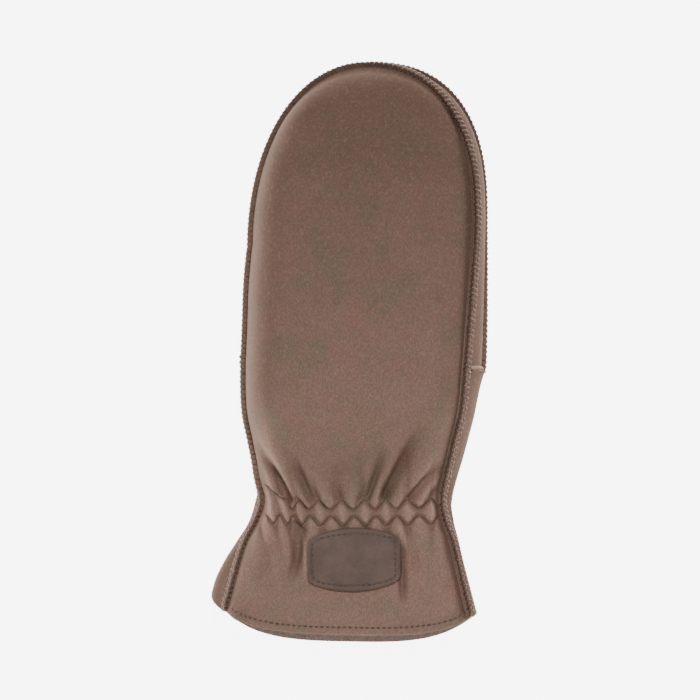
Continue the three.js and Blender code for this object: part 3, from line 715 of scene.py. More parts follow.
def upper_floor(x, y):
    inside = inside_mouth(x)
    top = THUMB_HEIGHT + THUMB_CLEARANCE
    arch = lerp(THUMB_SEAM, top, puff(inside / MOUTH_ROLL))
    beside = lerp(THUMB_SEAM, CROSS_SEAM, smooth(-inside / CROSS_FADE))
    beyond = np.hypot(x - THUMB_CENTRE, np.maximum(0, y - THUMB_ROUND)) - THUMB_HALF
    hump = top * (1 - smooth(beyond / HUMP_REACH))
    return lerp(np.where(inside > 0, arch, beside), hump, smooth((y - CROSS_Y) / 10))


def under_columns(corner, floor, mouth):
    left = -reach(np.array([CROSS_ALONG]), "left")[0]
    width = reach(np.array([CROSS_ALONG]), "outer")[0] - left
    a, b = (MOUTH[0] - left) / width, (MOUTH[1] - left) / width
    roll = CORNER_SHARE * (1 - np.cos(np.linspace(0, math.pi / 2, corner + 1)))
    stretches = [
        roll,
        np.linspace(CORNER_SHARE, a, floor + 1)[1:],
        np.linspace(a, b, mouth + 1)[1:],
        np.linspace(b, 1 - CORNER_SHARE, floor + 1)[1:],
        (1 - roll)[::-1][1:],
    ]
    return np.concatenate(stretches), corner + floor


def under_points(u, alongs, left, right, floor):
    """Points across the underside. Where the palm bulges past the left seam, its corner is a half circle."""
    bulge = np.maximum(0, section(alongs, "bulge"))[:, None]
    is_round = smooth(bulge / ROUND_BULGE) * (u < CORNER_SHARE)[None]
    t = np.clip(u / CORNER_SHARE, 0, 1)[None]
    share = lerp(u[None], CORNER_SHARE * t**3, is_round)
    points = lerp(left[:, None], right[:, None], share[..., None])
    rounding = HEM_CORNER_ROUND * (1 - puff((alongs - FIRST_ALONG) * LENGTH / 3.5))[:, None]
    points[..., 0] -= (bulge * HALF_WIDTH - rounding * is_round) * np.sin(math.pi * t)
    quarter = puff(np.minimum(u, 1 - u) / CORNER_SHARE)[None]
    roll = lerp(quarter, (1 - np.cos(math.pi * t)) / 2, is_round)
    points[..., 2] = lerp(points[..., 2], floor(points[..., 0], points[..., 1]), roll)
    return points


def let_down(points, alongs, left, right):
    """Lets the palm down to the hem, or up where it stands outside the two seams."""
    x = points[..., 0]
    left_x, right_x = left[:, None, 0], right[:, None, 0]
    share = np.clip((x - left_x) / (right_x - left_x), 0, 1)
    outside = np.maximum(0, np.maximum(left_x - x, x - right_x))
    drop = hem_curve(share, PALM_HEM_EXTRA) + HEM_CORNER_SLOPE * outside
    points[..., 1] += hem_pull(alongs)[:, None] * drop


def cross_plane(count, towards):
    """The middle plane of the cross seam at some places, and the way out of it towards one panel."""
    return np.tile((0.0, CROSS_Y, 0.0), (count, 1)), np.tile((0.0, towards, 0.0), (count, 1))


def row_outs(points):
    """The way out of the mitten along a row that ends at the cross seam, shorter where the floor is near."""
    along = np.gradient(points, axis=0)
    out = unit(np.stack([along[:, 2], 0 * along[:, 0], -along[:, 0]], axis=-1))
    room = np.where(out[:, 2] < -0.5, np.clip((points[:, 2] - SEAM_GAP) / LIP, 0.25, 1), 1.0)
    room = room * lerp(1.0, SIDE_LIP, smooth((out[:, 0] - 0.2) / 0.5))
    return out * room[:, None]


print("the thumb reaches", THUMB_LENGTH, "mm past the seam across the palm, at", CROSS_Y)


# %% [markdown]
# The thumb is two halves sewn together round their edge, which is one of the ways a glove maker has. The
# lower half is a tongue of the palm, and the upper half is a piece of its own that meets the upper palm at
# its root. Both use one seam line, so that their lips meet along it all the way.

# %% The thumb's outline and its two halves
def thumb_seam(root_y, side_steps, arc_steps):
    y = np.linspace(root_y, THUMB_CORNER, side_steps + 1)
    width = np.sqrt(THUMB_HALF**2 - np.maximum(0, y - THUMB_ROUND) ** 2)
    angle = math.pi * np.linspace(0.75, 0.25, arc_steps + 1)[1:-1]
    plan = np.concatenate([
        np.stack([-width, y], axis=-1),
        np.stack([THUMB_HALF * np.cos(angle), THUMB_ROUND + THUMB_HALF * np.sin(angle)], axis=-1),
        np.stack([width, y], axis=-1)[::-1],
    ])
    points = np.column_stack([plan[:, 0] + THUMB_CENTRE, plan[:, 1], thumb_seam_height(plan[:, 1])])
    return seam_frames(points, np.zeros(len(points)))


def thumb_half(edges, first_row, side_steps, arc_steps, lift):
    """Points of one half of the thumb, with its first row given. lift gives the heights inside."""
    u = np.linspace(0, 1, arc_steps + 1)
    t = np.linspace(0, 1, side_steps + 1)
    left, right, arc = three_sides(edges, side_steps, arc_steps)
    points = lerp(left[:, None], right[:, None], u[None, :, None])
    pull = np.clip((t - 0.4) / 0.6, 0, 1)[:, None, None] ** 2
    points = points + pull * (arc - lerp(arc[0], arc[-1], u[:, None]))[None]
    points[..., 2] = lift(u[None], points)
    points[:, 0], points[:, -1], points[-1], points[0] = left, right, arc, first_row
    return points


def bed_lift(u, points):
    away = np.minimum(u, 1 - u) * 2 * THUMB_HALF
    roll = puff(away / BED_ROLL) * puff((THUMB_CORNER + 3 - points[..., 1]) / BED_ROLL)
    return points[..., 2] * (1 - roll)


def top_lift(u, points):
    swell = puff(2 * np.minimum(u, 1 - u)) * puff((THUMB_CORNER - points[..., 1]) / 16)
    return lerp(points[..., 2], THUMB_HEIGHT, swell)


def thumb_top(side_steps, arc_steps):
    sheet = Sheet()
    seam = thumb_seam(CROSS_Y + SEAM_EDGE, side_steps, arc_steps)
    edges = seam["point"] + seam["across"] * SEAM_EDGE
    u = np.linspace(0, 1, arc_steps + 1)
    root = lerp(edges[0], edges[-1], u[:, None])
    top = THUMB_HEIGHT + THUMB_CLEARANCE - SEAM_GAP
    root[:, 2] = lerp(root[:, 2], top, puff(inside_mouth(root[:, 0]) / MOUTH_ROLL))
    numbers = sheet.add(thumb_half(edges, root, side_steps, arc_steps, top_lift))
    sheet.grid(numbers)
    inner = slice(1, -1)
    sheet.lip(rim_of(numbers)[inner], seam["out"][inner], seam["point"][inner], seam["across"][inner])
    return sheet.solid("thumb_suede")


thumb = thumb_top(36, 28)

# %% [markdown]
# The lower palm is made in one piece with the side wall and the tongue. Its grid goes from the left seam
# across the floor and up the side, and the tongue is a second grid that starts from places that it shares
# with the first. The lip is then turned out along the whole edge in one run. Two separate meshes would
# leave a crack at the thumb's root.

# %% The lower palm with the thumb's lower half
SIDE_SWELL = 0.06 * CROWN
CORNER_FLARE = 2.4
CORNER_FLARE_REACH = 7.0
PALM_RIPPLE = 0.7
RIPPLE_REACH = 13.0
RIPPLE_LENGTH = 9.0


def side_wall(t, low, high):
    points = lerp(low[:, None], high[:, None], t[None, :, None])
    points[..., 0] += SIDE_SWELL * np.sin(math.pi * t)[None]
    return points


def palm_gathers(x, y):
    """The palm side is drawn in by the same elastic, so its side walls ripple too."""
    near = np.exp(-(((y - ELASTIC_Y) / RIPPLE_REACH) ** 2))
    return PALM_RIPPLE * near * np.cos(2 * math.pi * x / RIPPLE_LENGTH)


def palm_lower(rows, corner, floor, mouth, side, thumb_rows):
    sheet = Sheet()
    alongs = row_places(rows, last=3)
    last = len(alongs) - 1
    seams = {name: whole_seam(name, alongs, np.array([0.5, 1.0])) for name in ("left", "inner")}
    left_seam = part_of(seams["left"], 0, last + 1)
    inner_seam = {key: value[::-1][: last + 1] for key, value in seams["inner"].items()}
    left = left_seam["point"] - left_seam["across"] * SEAM_EDGE
    high = inner_seam["point"] - inner_seam["across"] * SEAM_EDGE
    low = side_points("outer", alongs)
    for edge, name in ((left, "left"), (high, "inner"), (low, "outer")):
        edge[:, 1] = side_y(name, alongs)
        edge[-1, 1] = CROSS_Y - SEAM_EDGE
    low[:, 0] += CORNER_FLARE * np.exp(-(CROSS_Y - low[:, 1]) / CORNER_FLARE_REACH)
    u, start = under_columns(corner, floor, mouth)
    under = under_points(u, alongs, left, low, lower_floor)
    climb = np.linspace(0, 1, side + 1)[1:]
    walls = side_wall(climb, low, high)
    walls[..., 0] += palm_gathers(walls[..., 2] * 2, walls[..., 1]) * np.sin(math.pi * climb)[None]
    points = np.concatenate([under, walls], axis=1)
    let_down(points, alongs, left, high)
    numbers = sheet.add(points)
    sheet.grid(numbers[::-1])
    cross = numbers[-1]
    seam = thumb_seam(CROSS_Y, thumb_rows, mouth)
    edges = seam["point"] - seam["across"] * SEAM_EDGE
    bed_points = thumb_half(edges, under[-1, start : start + mouth + 1], thumb_rows, mouth, bed_lift)
    bed = np.concatenate([cross[None, start : start + mouth + 1], sheet.add(bed_points[1:])])
    sheet.grid(bed[::-1])
    outs = row_outs(sheet.points()[cross])
    across_palm = (cross, outs, *cross_plane(len(cross), -1.0))
    ridge = (numbers[:, -1], inner_seam["out"], inner_seam["point"], -inner_seam["across"])
    stretches = [
        (numbers[:, 0], left_seam["out"], left_seam["point"], -left_seam["across"]),
        [array[1:start] for array in across_palm],
        (rim_of(bed), seam["out"], seam["point"], -seam["across"]),
        [array[start + mouth + 1 : -1] for array in across_palm],
        [array[::-1] for array in ridge],
    ]
    sheet.lips(stretches, step=-1)
    return sheet.solid("palm_lower_suede")


lower = palm_lower((40, 70, 30), 10, 12, 24, 16, 34)

# %% [markdown]
# The upper palm closes the hand from below. It is lifted over the thumb that lies folded under it, and it
# leaves the thumb's mouth open, so a hand can reach from the cuff into both hollows.

# %% The upper palm
PALM_TIP_ROUND = 0.07


def palm_upper(rows, corner, floor, mouth):
    sheet = Sheet()
    alongs = np.linspace(CROSS_ALONG, CORNER_ALONG, rows + 1)
    u, start = under_columns(corner, floor, mouth)
    columns = len(u) - 1
    even = even_columns(columns)
    seam = round_seam("outer", alongs, 2 * even[1 : columns // 2 + 1])
    edges = seam["point"] - seam["across"] * SEAM_EDGE
    edges[0, 1] = edges[-1, 1] = CROSS_Y + SEAM_EDGE
    left, right, arc = three_sides(edges, rows, columns)
    spread = lerp(u[None], even[None], np.linspace(0, 1, rows + 1)[:, None] ** 2)
    points = lerp(left[:, None], right[:, None], spread[..., None])
    chord = lerp(arc[0], arc[-1], spread[..., None])
    points = points + tip_pull(alongs)[:, None, None] * (arc[None] - chord)
    roll = puff(np.minimum(spread, 1 - spread) / CORNER_SHARE)
    roll = roll * puff((CORNER_ALONG - alongs) / PALM_TIP_ROUND)[:, None]
    points[..., 2] = lerp(points[..., 2], upper_floor(points[..., 0], points[..., 1]), roll)
    points[-1] = arc
    numbers = sheet.add(points)
    sheet.grid(numbers[::-1])
    root = numbers[0]
    across_palm = (root, row_outs(points[0]), *cross_plane(len(root), 1.0))
    stretches = [
        [array[1:start][::-1] for array in across_palm],
        (rim_of(numbers), seam["out"], seam["point"], -seam["across"]),
        [array[start + mouth + 1 : -1][::-1] for array in across_palm],
    ]
    sheet.lips(stretches, step=-1)
    return sheet.solid("palm_upper_suede")


upper = palm_upper(80, 10, 12, 24)

# %% [markdown]
# The gusset is the narrow strip that gives the hand its thickness on one side. It tapers to nothing where
# its two seams run together at the fingertips. It could end in one point, but a strip of thin triangles
# shades badly, so it stops where there is still room for both lips, and its own lips grow lower on the way
# there.

# %% The gusset
LOWEST_LIP = 0.15
LIP_ROOM = 3.0


def side_gusset(rows, arc_steps, side):
    sheet = Sheet()
    alongs = np.linspace(CROSS_ALONG, CORNER_ALONG, rows + 1)
    shares = np.linspace(0, 1, arc_steps + 1)[1:]
    outer = whole_seam("outer", alongs, shares)
    inner = whole_seam("inner", alongs, shares)
    apart = np.linalg.norm(outer["point"] - inner["point"], axis=-1)
    start = int(np.argmax(apart > 2 * SEAM_EDGE + WALL / 2))
    outer, inner = part_of(outer, start, None), part_of(inner, start, None)
    high = inner["point"] - inner["across"] * SEAM_EDGE
    low = outer["point"] + outer["across"] * SEAM_EDGE
    high[-1, 1] = low[-1, 1] = CROSS_Y + SEAM_EDGE
    points = side_wall(1 - np.linspace(0, 1, side + 1), low, high)
    numbers = sheet.add(points)
    sheet.grid(numbers[::-1])
    end = (numbers[-1], row_outs(points[-1, ::-1])[::-1], *cross_plane(side + 1, 1.0))
    room = np.clip((apart[start:] - 2 * SEAM_EDGE) / LIP_ROOM, LOWEST_LIP, 1)[:, None]
    ridge = (numbers[:, 0], inner["out"] * room, inner["point"], -inner["across"])
    stretches = [
        (numbers[:, -1], outer["out"] * room, outer["point"], outer["across"]),
        [array[1:-1][::-1] for array in end],
        [array[::-1] for array in ridge],
    ]
    sheet.lips(stretches)
    return sheet.solid("gusset_suede")


gusset = side_gusset(110, 60, 18)

# %% [markdown]
# The patch is a stiffer piece of smooth leather, cut as a barrel and stitched flat over the cuff. It
# bridges the small folds under it instead of following them, so its height comes from a blurred copy of the
# suede's height. Its middle is bare.

# %% Heights and normals of the finished back
DROP_FROM = Vector((0, 0, 1))
DOWN = Vector((0, 0, -1))


def tree_of(piece):
    corners = [tuple(vertex.co) for vertex in piece.data.vertices]
    return BVHTree.FromPolygons(corners, [tuple(face.vertices) for face in piece.data.polygons])


def laid_on(tree, x, y):
    """Where places on the plan, in millimetres about the table's middle, meet a piece, with its normals."""
    points, normals = [], []
    for place_x, place_y in zip(np.ravel(x), np.ravel(y)):
        start = Vector(in_metres((place_x, place_y, 0))) + DROP_FROM
        spot, normal, _, _ = tree.ray_cast(start, DOWN)
        points.append((place_x, place_y, spot.z / MM))
        normals.append(tuple(normal if normal.z > 0 else -normal))
    shape = np.shape(x) + (3,)
    return np.array(points).reshape(shape), np.array(normals).reshape(shape)


back_tree = tree_of(back)
print("back at the patch", laid_on(back_tree, np.array([0.0]), np.array([-96.0]))[0])

# %% The patch
PATCH_WIDTH = 44.0
PATCH_HEIGHT = 29.5
PATCH_THICKNESS = 1.4
PATCH_CENTRE = (1.9, -97.4)
PATCH_TURN = math.radians(1.8)
PATCH_BARREL = 0.31
PATCH_INSET = 2.6
PATCH_ROUND = 0.9
PATCH_CROWDING = 1.45
PATCH_BLUR = 60
PATCH_LIFT = 0.6
PATCH_GAP = 0.15
PATCH_GROOVE = 0.22
PATCH_GROOVE_WIDTH = 0.55
PATCH_DIMPLE = 0.10


def patch_plan(u, v):
    x = 0.5 * PATCH_WIDTH * u * (1 - 0.035 * np.abs(v) ** 5)
    y = 0.5 * PATCH_HEIGHT * v * (1 - PATCH_BARREL * u**2) * (1 - 0.07 * np.abs(u) ** 12)
    cos, sin = math.cos(PATCH_TURN), math.sin(PATCH_TURN)
    return PATCH_CENTRE[0] + x * cos - y * sin, PATCH_CENTRE[1] + x * sin + y * cos


def crowded(count):
    """Places from -1 to 1 that lie closer together near both ends."""
    return np.sin(np.linspace(-1, 1, count + 1) * PATCH_CROWDING) / math.sin(PATCH_CROWDING)


def blurred(heights, rounds):
    for _ in range(rounds):
        padded = np.pad(heights, 1, mode="edge")
        around = padded[:-2, 1:-1] + padded[2:, 1:-1] + padded[1:-1, :-2] + padded[1:-1, 2:]
        heights = 0.5 * heights + 0.125 * around
    return heights


def label_patch(across, up):
    u, v = np.meshgrid(crowded(across), crowded(up))
    x, y = patch_plan(u, v)
    under = laid_on(back_tree, x, y)[0][..., 2]
    base = blurred(under, PATCH_BLUR)
    base = base + np.max(blurred(np.maximum(0, under - base), 10)) * PATCH_LIFT + PATCH_GAP
    edge = np.minimum((1 - np.abs(u)) * PATCH_WIDTH / 2, (1 - np.abs(v)) * PATCH_HEIGHT / 2)
    groove = PATCH_GROOVE * np.exp(-(((edge - PATCH_INSET) / PATCH_GROOVE_WIDTH) ** 2))
    dimple = PATCH_DIMPLE * np.sin(x / 6.0 + 1.0) * np.sin(y / 5.0)
    top = base + PATCH_THICKNESS * (0.35 + 0.65 * puff(edge / PATCH_ROUND)) - groove + dimple
    count = x.size
    high, low = [np.stack([x, y, height], axis=-1).reshape(-1, 3) for height in (top, base)]
    numbers = np.arange(count).reshape(x.shape)
    faces = grid_quads(numbers)
    rim = np.concatenate([numbers[0, :-1], numbers[:-1, -1], numbers[-1, :0:-1], numbers[:0:-1, 0]])
    after = np.roll(rim, -1)
    walls = np.stack([rim + count, after + count, after, rim], axis=-1)
    faces = np.concatenate([faces, faces[:, ::-1] + count, walls])
    return mesh_object("label_patch_leather", np.concatenate([high, low]), faces)


patch = label_patch(90, 64)

# %% [markdown]
# All the sewing is one idea repeated: the same small loop of thread, set down at even steps along a line. A
# Geometry Nodes tree does that. It resamples a line, reads from it the way out of the leather and the way
# along the seam, stands one loop on each point by those two directions with a little unsteadiness, and
# realizes the copies so that they survive as plain mesh.

# %% Nodes from one function
def give(tree, socket, value):
    """Links a socket to another one or sets its own value."""
    if isinstance(value, bpy.types.NodeSocket):
        tree.links.new(value, socket)
    else:
        socket.default_value = value


def add_node(tree, kind, settings=(), inputs=()):
    """A node whose settings are made first, because they decide which sockets it has."""
    made = tree.nodes.new(kind)
    for name, value in dict(settings).items():
        setattr(made, name, value)
    for name, value in dict(inputs).items():
        give(tree, made.inputs[name], value)
    return made


# %% A tree that lays stitches along a line
STITCH_INPUTS = {
    "Geometry": "NodeSocketGeometry",
    "Stitch": "NodeSocketObject",
    "Step": "NodeSocketFloat",
    "Unsteady turn": "NodeSocketFloat",
    "Unsteady size": "NodeSocketFloat",
    "Seed": "NodeSocketInt",
    "Material": "NodeSocketMaterial",
}
LARGEST_STITCH = 1.05


def stitch_tree():
    tree = bpy.data.node_groups.new("Lay stitches", "GeometryNodeTree")
    for name, kind in STITCH_INPUTS.items():
        tree.interface.new_socket(name, in_out="INPUT", socket_type=kind)
    tree.interface.new_socket("Geometry", in_out="OUTPUT", socket_type="NodeSocketGeometry")
    given = tree.nodes.new("NodeGroupInput").outputs

    def made_by(kind, settings=(), **inputs):
        """The first output of a new node. Its inputs are named as in Blender, with _ for a space."""
        named = {name.replace("_", " "): value for name, value in inputs.items()}
        return add_node(tree, kind, settings, named).outputs[0]

    def sum_of(operation, first, second):
        return add_node(tree, "ShaderNodeMath", {"operation": operation}, {0: first, 1: second}).outputs[0]

    def random_between(low, high):
        node = add_node(tree, "FunctionNodeRandomValue", {"data_type": "FLOAT"}, {"Seed": given["Seed"]})
        limits = [socket for socket in node.inputs if socket.type == "VALUE" and socket.enabled]
        for socket, value in zip(limits, (low, high)):
            give(tree, socket, value)
        return next(socket for socket in node.outputs if socket.enabled)

    def direction(name):
        return made_by("GeometryNodeInputNamedAttribute", {"data_type": "FLOAT_VECTOR"}, Name=name)

    curve = made_by("GeometryNodeMeshToCurve", Mesh=given["Geometry"])
    places = made_by("GeometryNodeResampleCurve", {"mode": "LENGTH"}, Curve=curve, Length=given["Step"])
    axes = {0: direction("out"), 1: direction("along")}
    stand = add_node(tree, "FunctionNodeAxesToRotation", {"primary_axis": "Z", "secondary_axis": "X"}, axes)
    turn = given["Unsteady turn"]
    swing = made_by("ShaderNodeCombineXYZ", Z=random_between(sum_of("MULTIPLY", turn, -1), turn))
    turns = {0: stand.outputs[0], 1: made_by("FunctionNodeEulerToRotation", Euler=swing)}
    turned = add_node(tree, "FunctionNodeRotateRotation", {"rotation_space": "LOCAL"}, turns)
    stitch = add_node(tree, "GeometryNodeObjectInfo", inputs={"Object": given["Stitch"]})
    placed = made_by(
        "GeometryNodeInstanceOnPoints",
        Points=places,
        Instance=stitch.outputs["Geometry"],
        Rotation=turned.outputs[0],
        Scale=random_between(sum_of("SUBTRACT", 1, given["Unsteady size"]), LARGEST_STITCH),
    )
    real = made_by("GeometryNodeRealizeInstances", Geometry=placed)
    dyed = made_by("GeometryNodeSetMaterial", Geometry=real, Material=given["Material"])
    add_node(tree, "NodeGroupOutput", inputs={0: dyed})
    return tree


lay_stitches = stitch_tree()
print("nodes in the stitch tree", len(lay_stitches.nodes))

# %% [markdown]
# One overcast stitch is a loop of waxed thread that leans along the seam and goes over both lips. One
# running stitch is a short arch that dips into the leather at both ends. A curve with a bevel would do, but
# a loop is repeated hundreds of times, so its few faces are laid by hand: six sides round a path of a dozen
# places.

# %% Loops of thread and the lines they follow
OVERCAST_RADIUS = 0.5
OVERCAST_SLANT = 2.0
OVERCAST_LOOSE = 0.1
OVERCAST_DEEP = LIP - 0.35
OVERCAST_PROUD = 0.05
RUN_RADIUS = 0.34
RUN_TOP = 0.24
RUN_DIP = 0.55
NEVER_ALONG = (0.35, 0.2, 1.0)


def tube_mesh(name, path, radius, sides=6, taper=0.55):
    """A closed tube of thread along a path, in millimetres about its own origin. taper thins both ends."""
    path = np.asarray(path, dtype=float)
    tangent = unit(np.gradient(path, axis=0))
    side = unit(np.cross(tangent, np.tile(NEVER_ALONG, (len(path), 1))))
    up = np.cross(side, tangent)
    place = np.linspace(-1, 1, len(path))
    radii = radius * lerp(1.0, taper, np.abs(place) ** 4)
    angle = np.linspace(0, 2 * math.pi, sides, endpoint=False)
    ring = np.cos(angle)[None, :, None] * side[:, None] + np.sin(angle)[None, :, None] * up[:, None]
    points = (path[:, None] + ring * radii[:, None, None]).reshape(-1, 3)
    numbers = np.arange(len(points)).reshape(len(path), sides)
    nxt = np.roll(numbers, -1, axis=1)
    faces = np.stack([numbers[:-1], nxt[:-1], nxt[1:], numbers[1:]], axis=-1).reshape(-1, 4).tolist()
    faces += [numbers[0, ::-1].tolist(), numbers[-1].tolist()]
    mesh = bpy.data.meshes.new(name)
    mesh.from_pydata((points * MM).tolist(), [], faces)
    mesh.shade_smooth()
    print(name, len(faces), "faces")
    return in_scene(name, mesh)


def overcast_loop():
    angle = np.linspace(0, math.pi, 13)
    lean = OVERCAST_SLANT * (angle / math.pi - 0.5)
    across = -(SEAM_EDGE + OVERCAST_LOOSE) * np.sign(np.cos(angle)) * np.abs(np.cos(angle)) ** 0.7
    height = -OVERCAST_DEEP + (OVERCAST_DEEP - OVERCAST_PROUD) * np.sin(angle) ** 0.5
    return tube_mesh("overcast_loop", np.stack([lean, across, height], axis=-1), OVERCAST_RADIUS)


def running_stitch(length):
    place = np.linspace(-1, 1, 9)
    height = RUN_TOP - RUN_DIP * np.abs(place) ** 3
    path = np.stack([0.5 * length * place, 0 * place, height], axis=-1)
    return tube_mesh("running_stitch", path, RUN_RADIUS)


def stitch_line(name, points, out, along):
    """A line as a mesh of edges, with the way out of the leather and the way along as named attributes."""
    mesh = bpy.data.meshes.new(name)
    mesh.from_pydata(in_metres(points).tolist(), [(i, i + 1) for i in range(len(points) - 1)], [])
    for key, vectors in (("out", out), ("along", along)):
        attribute = mesh.attributes.new(key, "FLOAT_VECTOR", "POINT")
        attribute.data.foreach_set("vector", np.asarray(vectors, dtype=np.float32).ravel())
    return in_scene(name, mesh)


def sewn(name, line, stitch, step, seed, material, turn, size):
    """Runs the stitch tree on a line and keeps the result as a plain mesh."""
    modifier = line.modifiers.new("Lay stitches", "NODES")
    modifier.node_group = lay_stitches
    values = {
        "Stitch": stitch,
        "Step": step * MM,
        "Unsteady turn": turn,
        "Unsteady size": size,
        "Seed": seed,
        "Material": material,
    }
    for item in lay_stitches.interface.items_tree:
        if item.name in values:
            modifier[item.identifier] = values[item.name]
    graph = bpy.context.evaluated_depsgraph_get()
    graph.update()
    mesh = bpy.data.meshes.new_from_object(line.evaluated_get(graph))
    mesh.name = name
    mesh.shade_smooth()
    if material.name not in [slot.name for slot in mesh.materials if slot]:
        mesh.materials.append(material)
    bpy.data.objects.remove(line)
    print(name, len(mesh.polygons), "faces")
    return in_scene(name, mesh)


# %% [markdown]
# The thread is a waxed cotton a little lighter and greyer than the suede. Its colour and the leathers' are
# worked out from noise in object space, so nothing depends on where the camera stands.

# %% A small class for shader sums
class Value:
    """A shader socket that can be added, subtracted and multiplied like a number."""

    def __init__(self, look, socket):
        self.look = look
        self.socket = socket

    def sum_with(self, operation, first, second):
        made = self.look.node("ShaderNodeMath", {"operation": operation}, {0: first, 1: second})
        return Value(self.look, made.outputs[0])

    def __add__(self, other):
        return self.sum_with("ADD", self, other)

    def __radd__(self, other):
        return self.sum_with("ADD", other, self)

    def __sub__(self, other):
        return self.sum_with("SUBTRACT", self, other)

    def __rsub__(self, other):
        return self.sum_with("SUBTRACT", other, self)

    def __mul__(self, other):
        return self.sum_with("MULTIPLY", self, other)

    def __rmul__(self, other):
        return self.sum_with("MULTIPLY", other, self)

    def between(self, low, high):
        """0 at low, 1 at high and smooth between them."""
        inputs = {"Value": self, "From Min": low, "From Max": high}
        made = self.look.node("ShaderNodeMapRange", {"interpolation_type": "SMOOTHSTEP"}, inputs)
        return Value(self.look, made.outputs[0])


class Look:
    """A material whose varying inputs are built up from named noise and attributes."""

    def __init__(self, name):
        self.material = bpy.data.materials.new(name)
        self.material.use_nodes = True
        self.tree = self.material.node_tree
        self.shader = self.tree.nodes["Principled BSDF"]
        self.place = self.node("ShaderNodeTexCoord").outputs["Object"]

    def node(self, kind, settings=(), inputs=()):
        plain = {name: self.plain(value) for name, value in dict(inputs).items()}
        return add_node(self.tree, kind, settings, plain)

    def plain(self, value):
        return value.socket if isinstance(value, Value) else value

    def noise(self, size, detail=2.0, rough=0.5, shift=0.0, stretch=(1, 1, 1), warp=0.0):
        """Noise from 0 to 1 whose features are about size millimetres across."""
        inputs = {"Vector": self.place, "Location": (shift, shift * 0.7, shift * 1.3), "Scale": stretch}
        moved = self.node("ShaderNodeMapping", (), inputs)
        inputs = {"Vector": moved.outputs[0], "Scale": 1 / (size * MM), "Detail": detail, "Roughness": rough}
        inputs["Distortion"] = warp
        return Value(self, self.node("ShaderNodeTexNoise", (), inputs).outputs[0])

    def attribute(self, name):
        return Value(self, self.node("ShaderNodeAttribute", {"attribute_name": name}).outputs["Fac"])

    def along(self):
        """How far a place lies from the mitten's middle towards the fingertips, in metres."""
        return Value(self, self.node("ShaderNodeSeparateXYZ", (), {"Vector": self.place}).outputs["Y"])

    def mix(self, factor, one, two):
        inputs = {0: factor, 6: one, 7: two}
        return self.node("ShaderNodeMix", {"data_type": "RGBA"}, inputs).outputs[2]

    def bump(self, height, distance, strength=1.0, under=None):
        inputs = {"Height": height, "Distance": distance * MM, "Strength": strength}
        if under is not None:
            inputs["Normal"] = under
        return self.node("ShaderNodeBump", (), inputs).outputs[0]

    def finish(self, **inputs):
        for name, value in inputs.items():
            give(self.tree, self.shader.inputs[name.replace("_", " ")], self.plain(value))
        return self.material


def rgb(red, green, blue):
    """A colour in the shader's linear numbers from the 0 to 255 numbers it is seen by."""
    linear = [((v / 255 + 0.055) / 1.055) ** 2.4 if v > 10 else v / 255 / 12.92 for v in (red, green, blue)]
    return (*linear, 1.0)


print("a middle grey in linear numbers", rgb(128, 128, 128))

# %% [markdown]
# Suede is the fuzzy side of the hide. It has cloudy patches of three close browns, a fine nap that lies one
# way, and no shine. Painted highlights on the tops of its folds and painted shade in their bottoms are laid
# into its colour as well. A photograph wrapped round the mitten would also do, but noise needs no seams, and
# the marks that each panel keeps at its points say where the folds are.

# %% Suede, smooth leather and thread
INSIDE = rgb(168, 152, 144)


def suede_look(name, main, warm, cool, light, dark):
    look = Look(name)
    blotch = look.noise(24, 3.0, 0.55, warp=0.6)
    patchy = look.noise(10, 3.0, 0.6, shift=0.3)
    speck = look.noise(1.5, 2.0, 0.6, shift=0.5)
    nap = look.noise(0.55, 2.0, 0.7, shift=0.9, stretch=(1, 0.45, 1))
    crest = look.attribute("crest")
    groove = look.attribute("groove")
    seam = look.attribute("seam")
    valley = look.attribute("valley")
    # Painted shade on steep slopes, held back where the suede is gathered at the elastic.
    steep = look.attribute("steep").between(0.06, 0.66) * (1 - look.attribute("gathered") * 0.75)
    inside = look.attribute("inside")
    along = look.along()
    colour = look.mix(blotch.between(0.38, 0.62) * 0.9, main, cool)
    colour = look.mix(patchy.between(0.45, 0.7) * 0.7, colour, warm)
    # Painted shade darkens the suede towards the fingertips, and painted light lightens it towards the cuff.
    colour = look.mix(along.between(-0.07, 0.1) * 0.46, colour, dark)
    colour = look.mix(along.between(0.07, 0.118) * 0.5, colour, dark)
    colour = look.mix((1 - along.between(-0.13, 0.02)) * 0.14, colour, light)
    colour = look.mix(steep * 0.55, colour, dark)
    # Painted highlight in a strip beside the left seam.
    colour = look.mix(seam * 0.08, colour, light)
    # Painted highlight on the tops of the folds and pillows.
    colour = look.mix(crest * 0.5, colour, light)
    # Painted shade in the bottoms of the folds and in the creases between pillows.
    colour = look.mix(groove * 0.55, colour, dark)
    # Painted shade beside the standing ridge of the right seam.
    colour = look.mix(valley * 0.3, colour, dark)
    colour = look.mix(inside * 0.8, colour, INSIDE)
    colour = look.mix(speck.between(0.5, 0.75) * 0.15, colour, light)
    colour = look.mix(nap.between(0.35, 0.62) * 0.34, colour, dark)
    height = look.bump(blotch + patchy * 0.4, 0.5, 0.3)
    height = look.bump(speck, 0.16, 0.5, height)
    height = look.bump(nap, 0.1, 0.7, height)
    look.finish(Base_Color=colour, Roughness=0.93, Normal=height, Sheen_Weight=0.02, Sheen_Roughness=0.6)
    look.finish(Sheen_Tint=rgb(190, 165, 150), Specular_IOR_Level=0.06)
    return look.material


suede = suede_look(
    "Suede",
    main=rgb(143, 114, 103),
    warm=rgb(147, 110, 99),
    cool=rgb(129, 112, 95),
    light=rgb(174, 142, 128),
    dark=rgb(76, 58, 49),
)


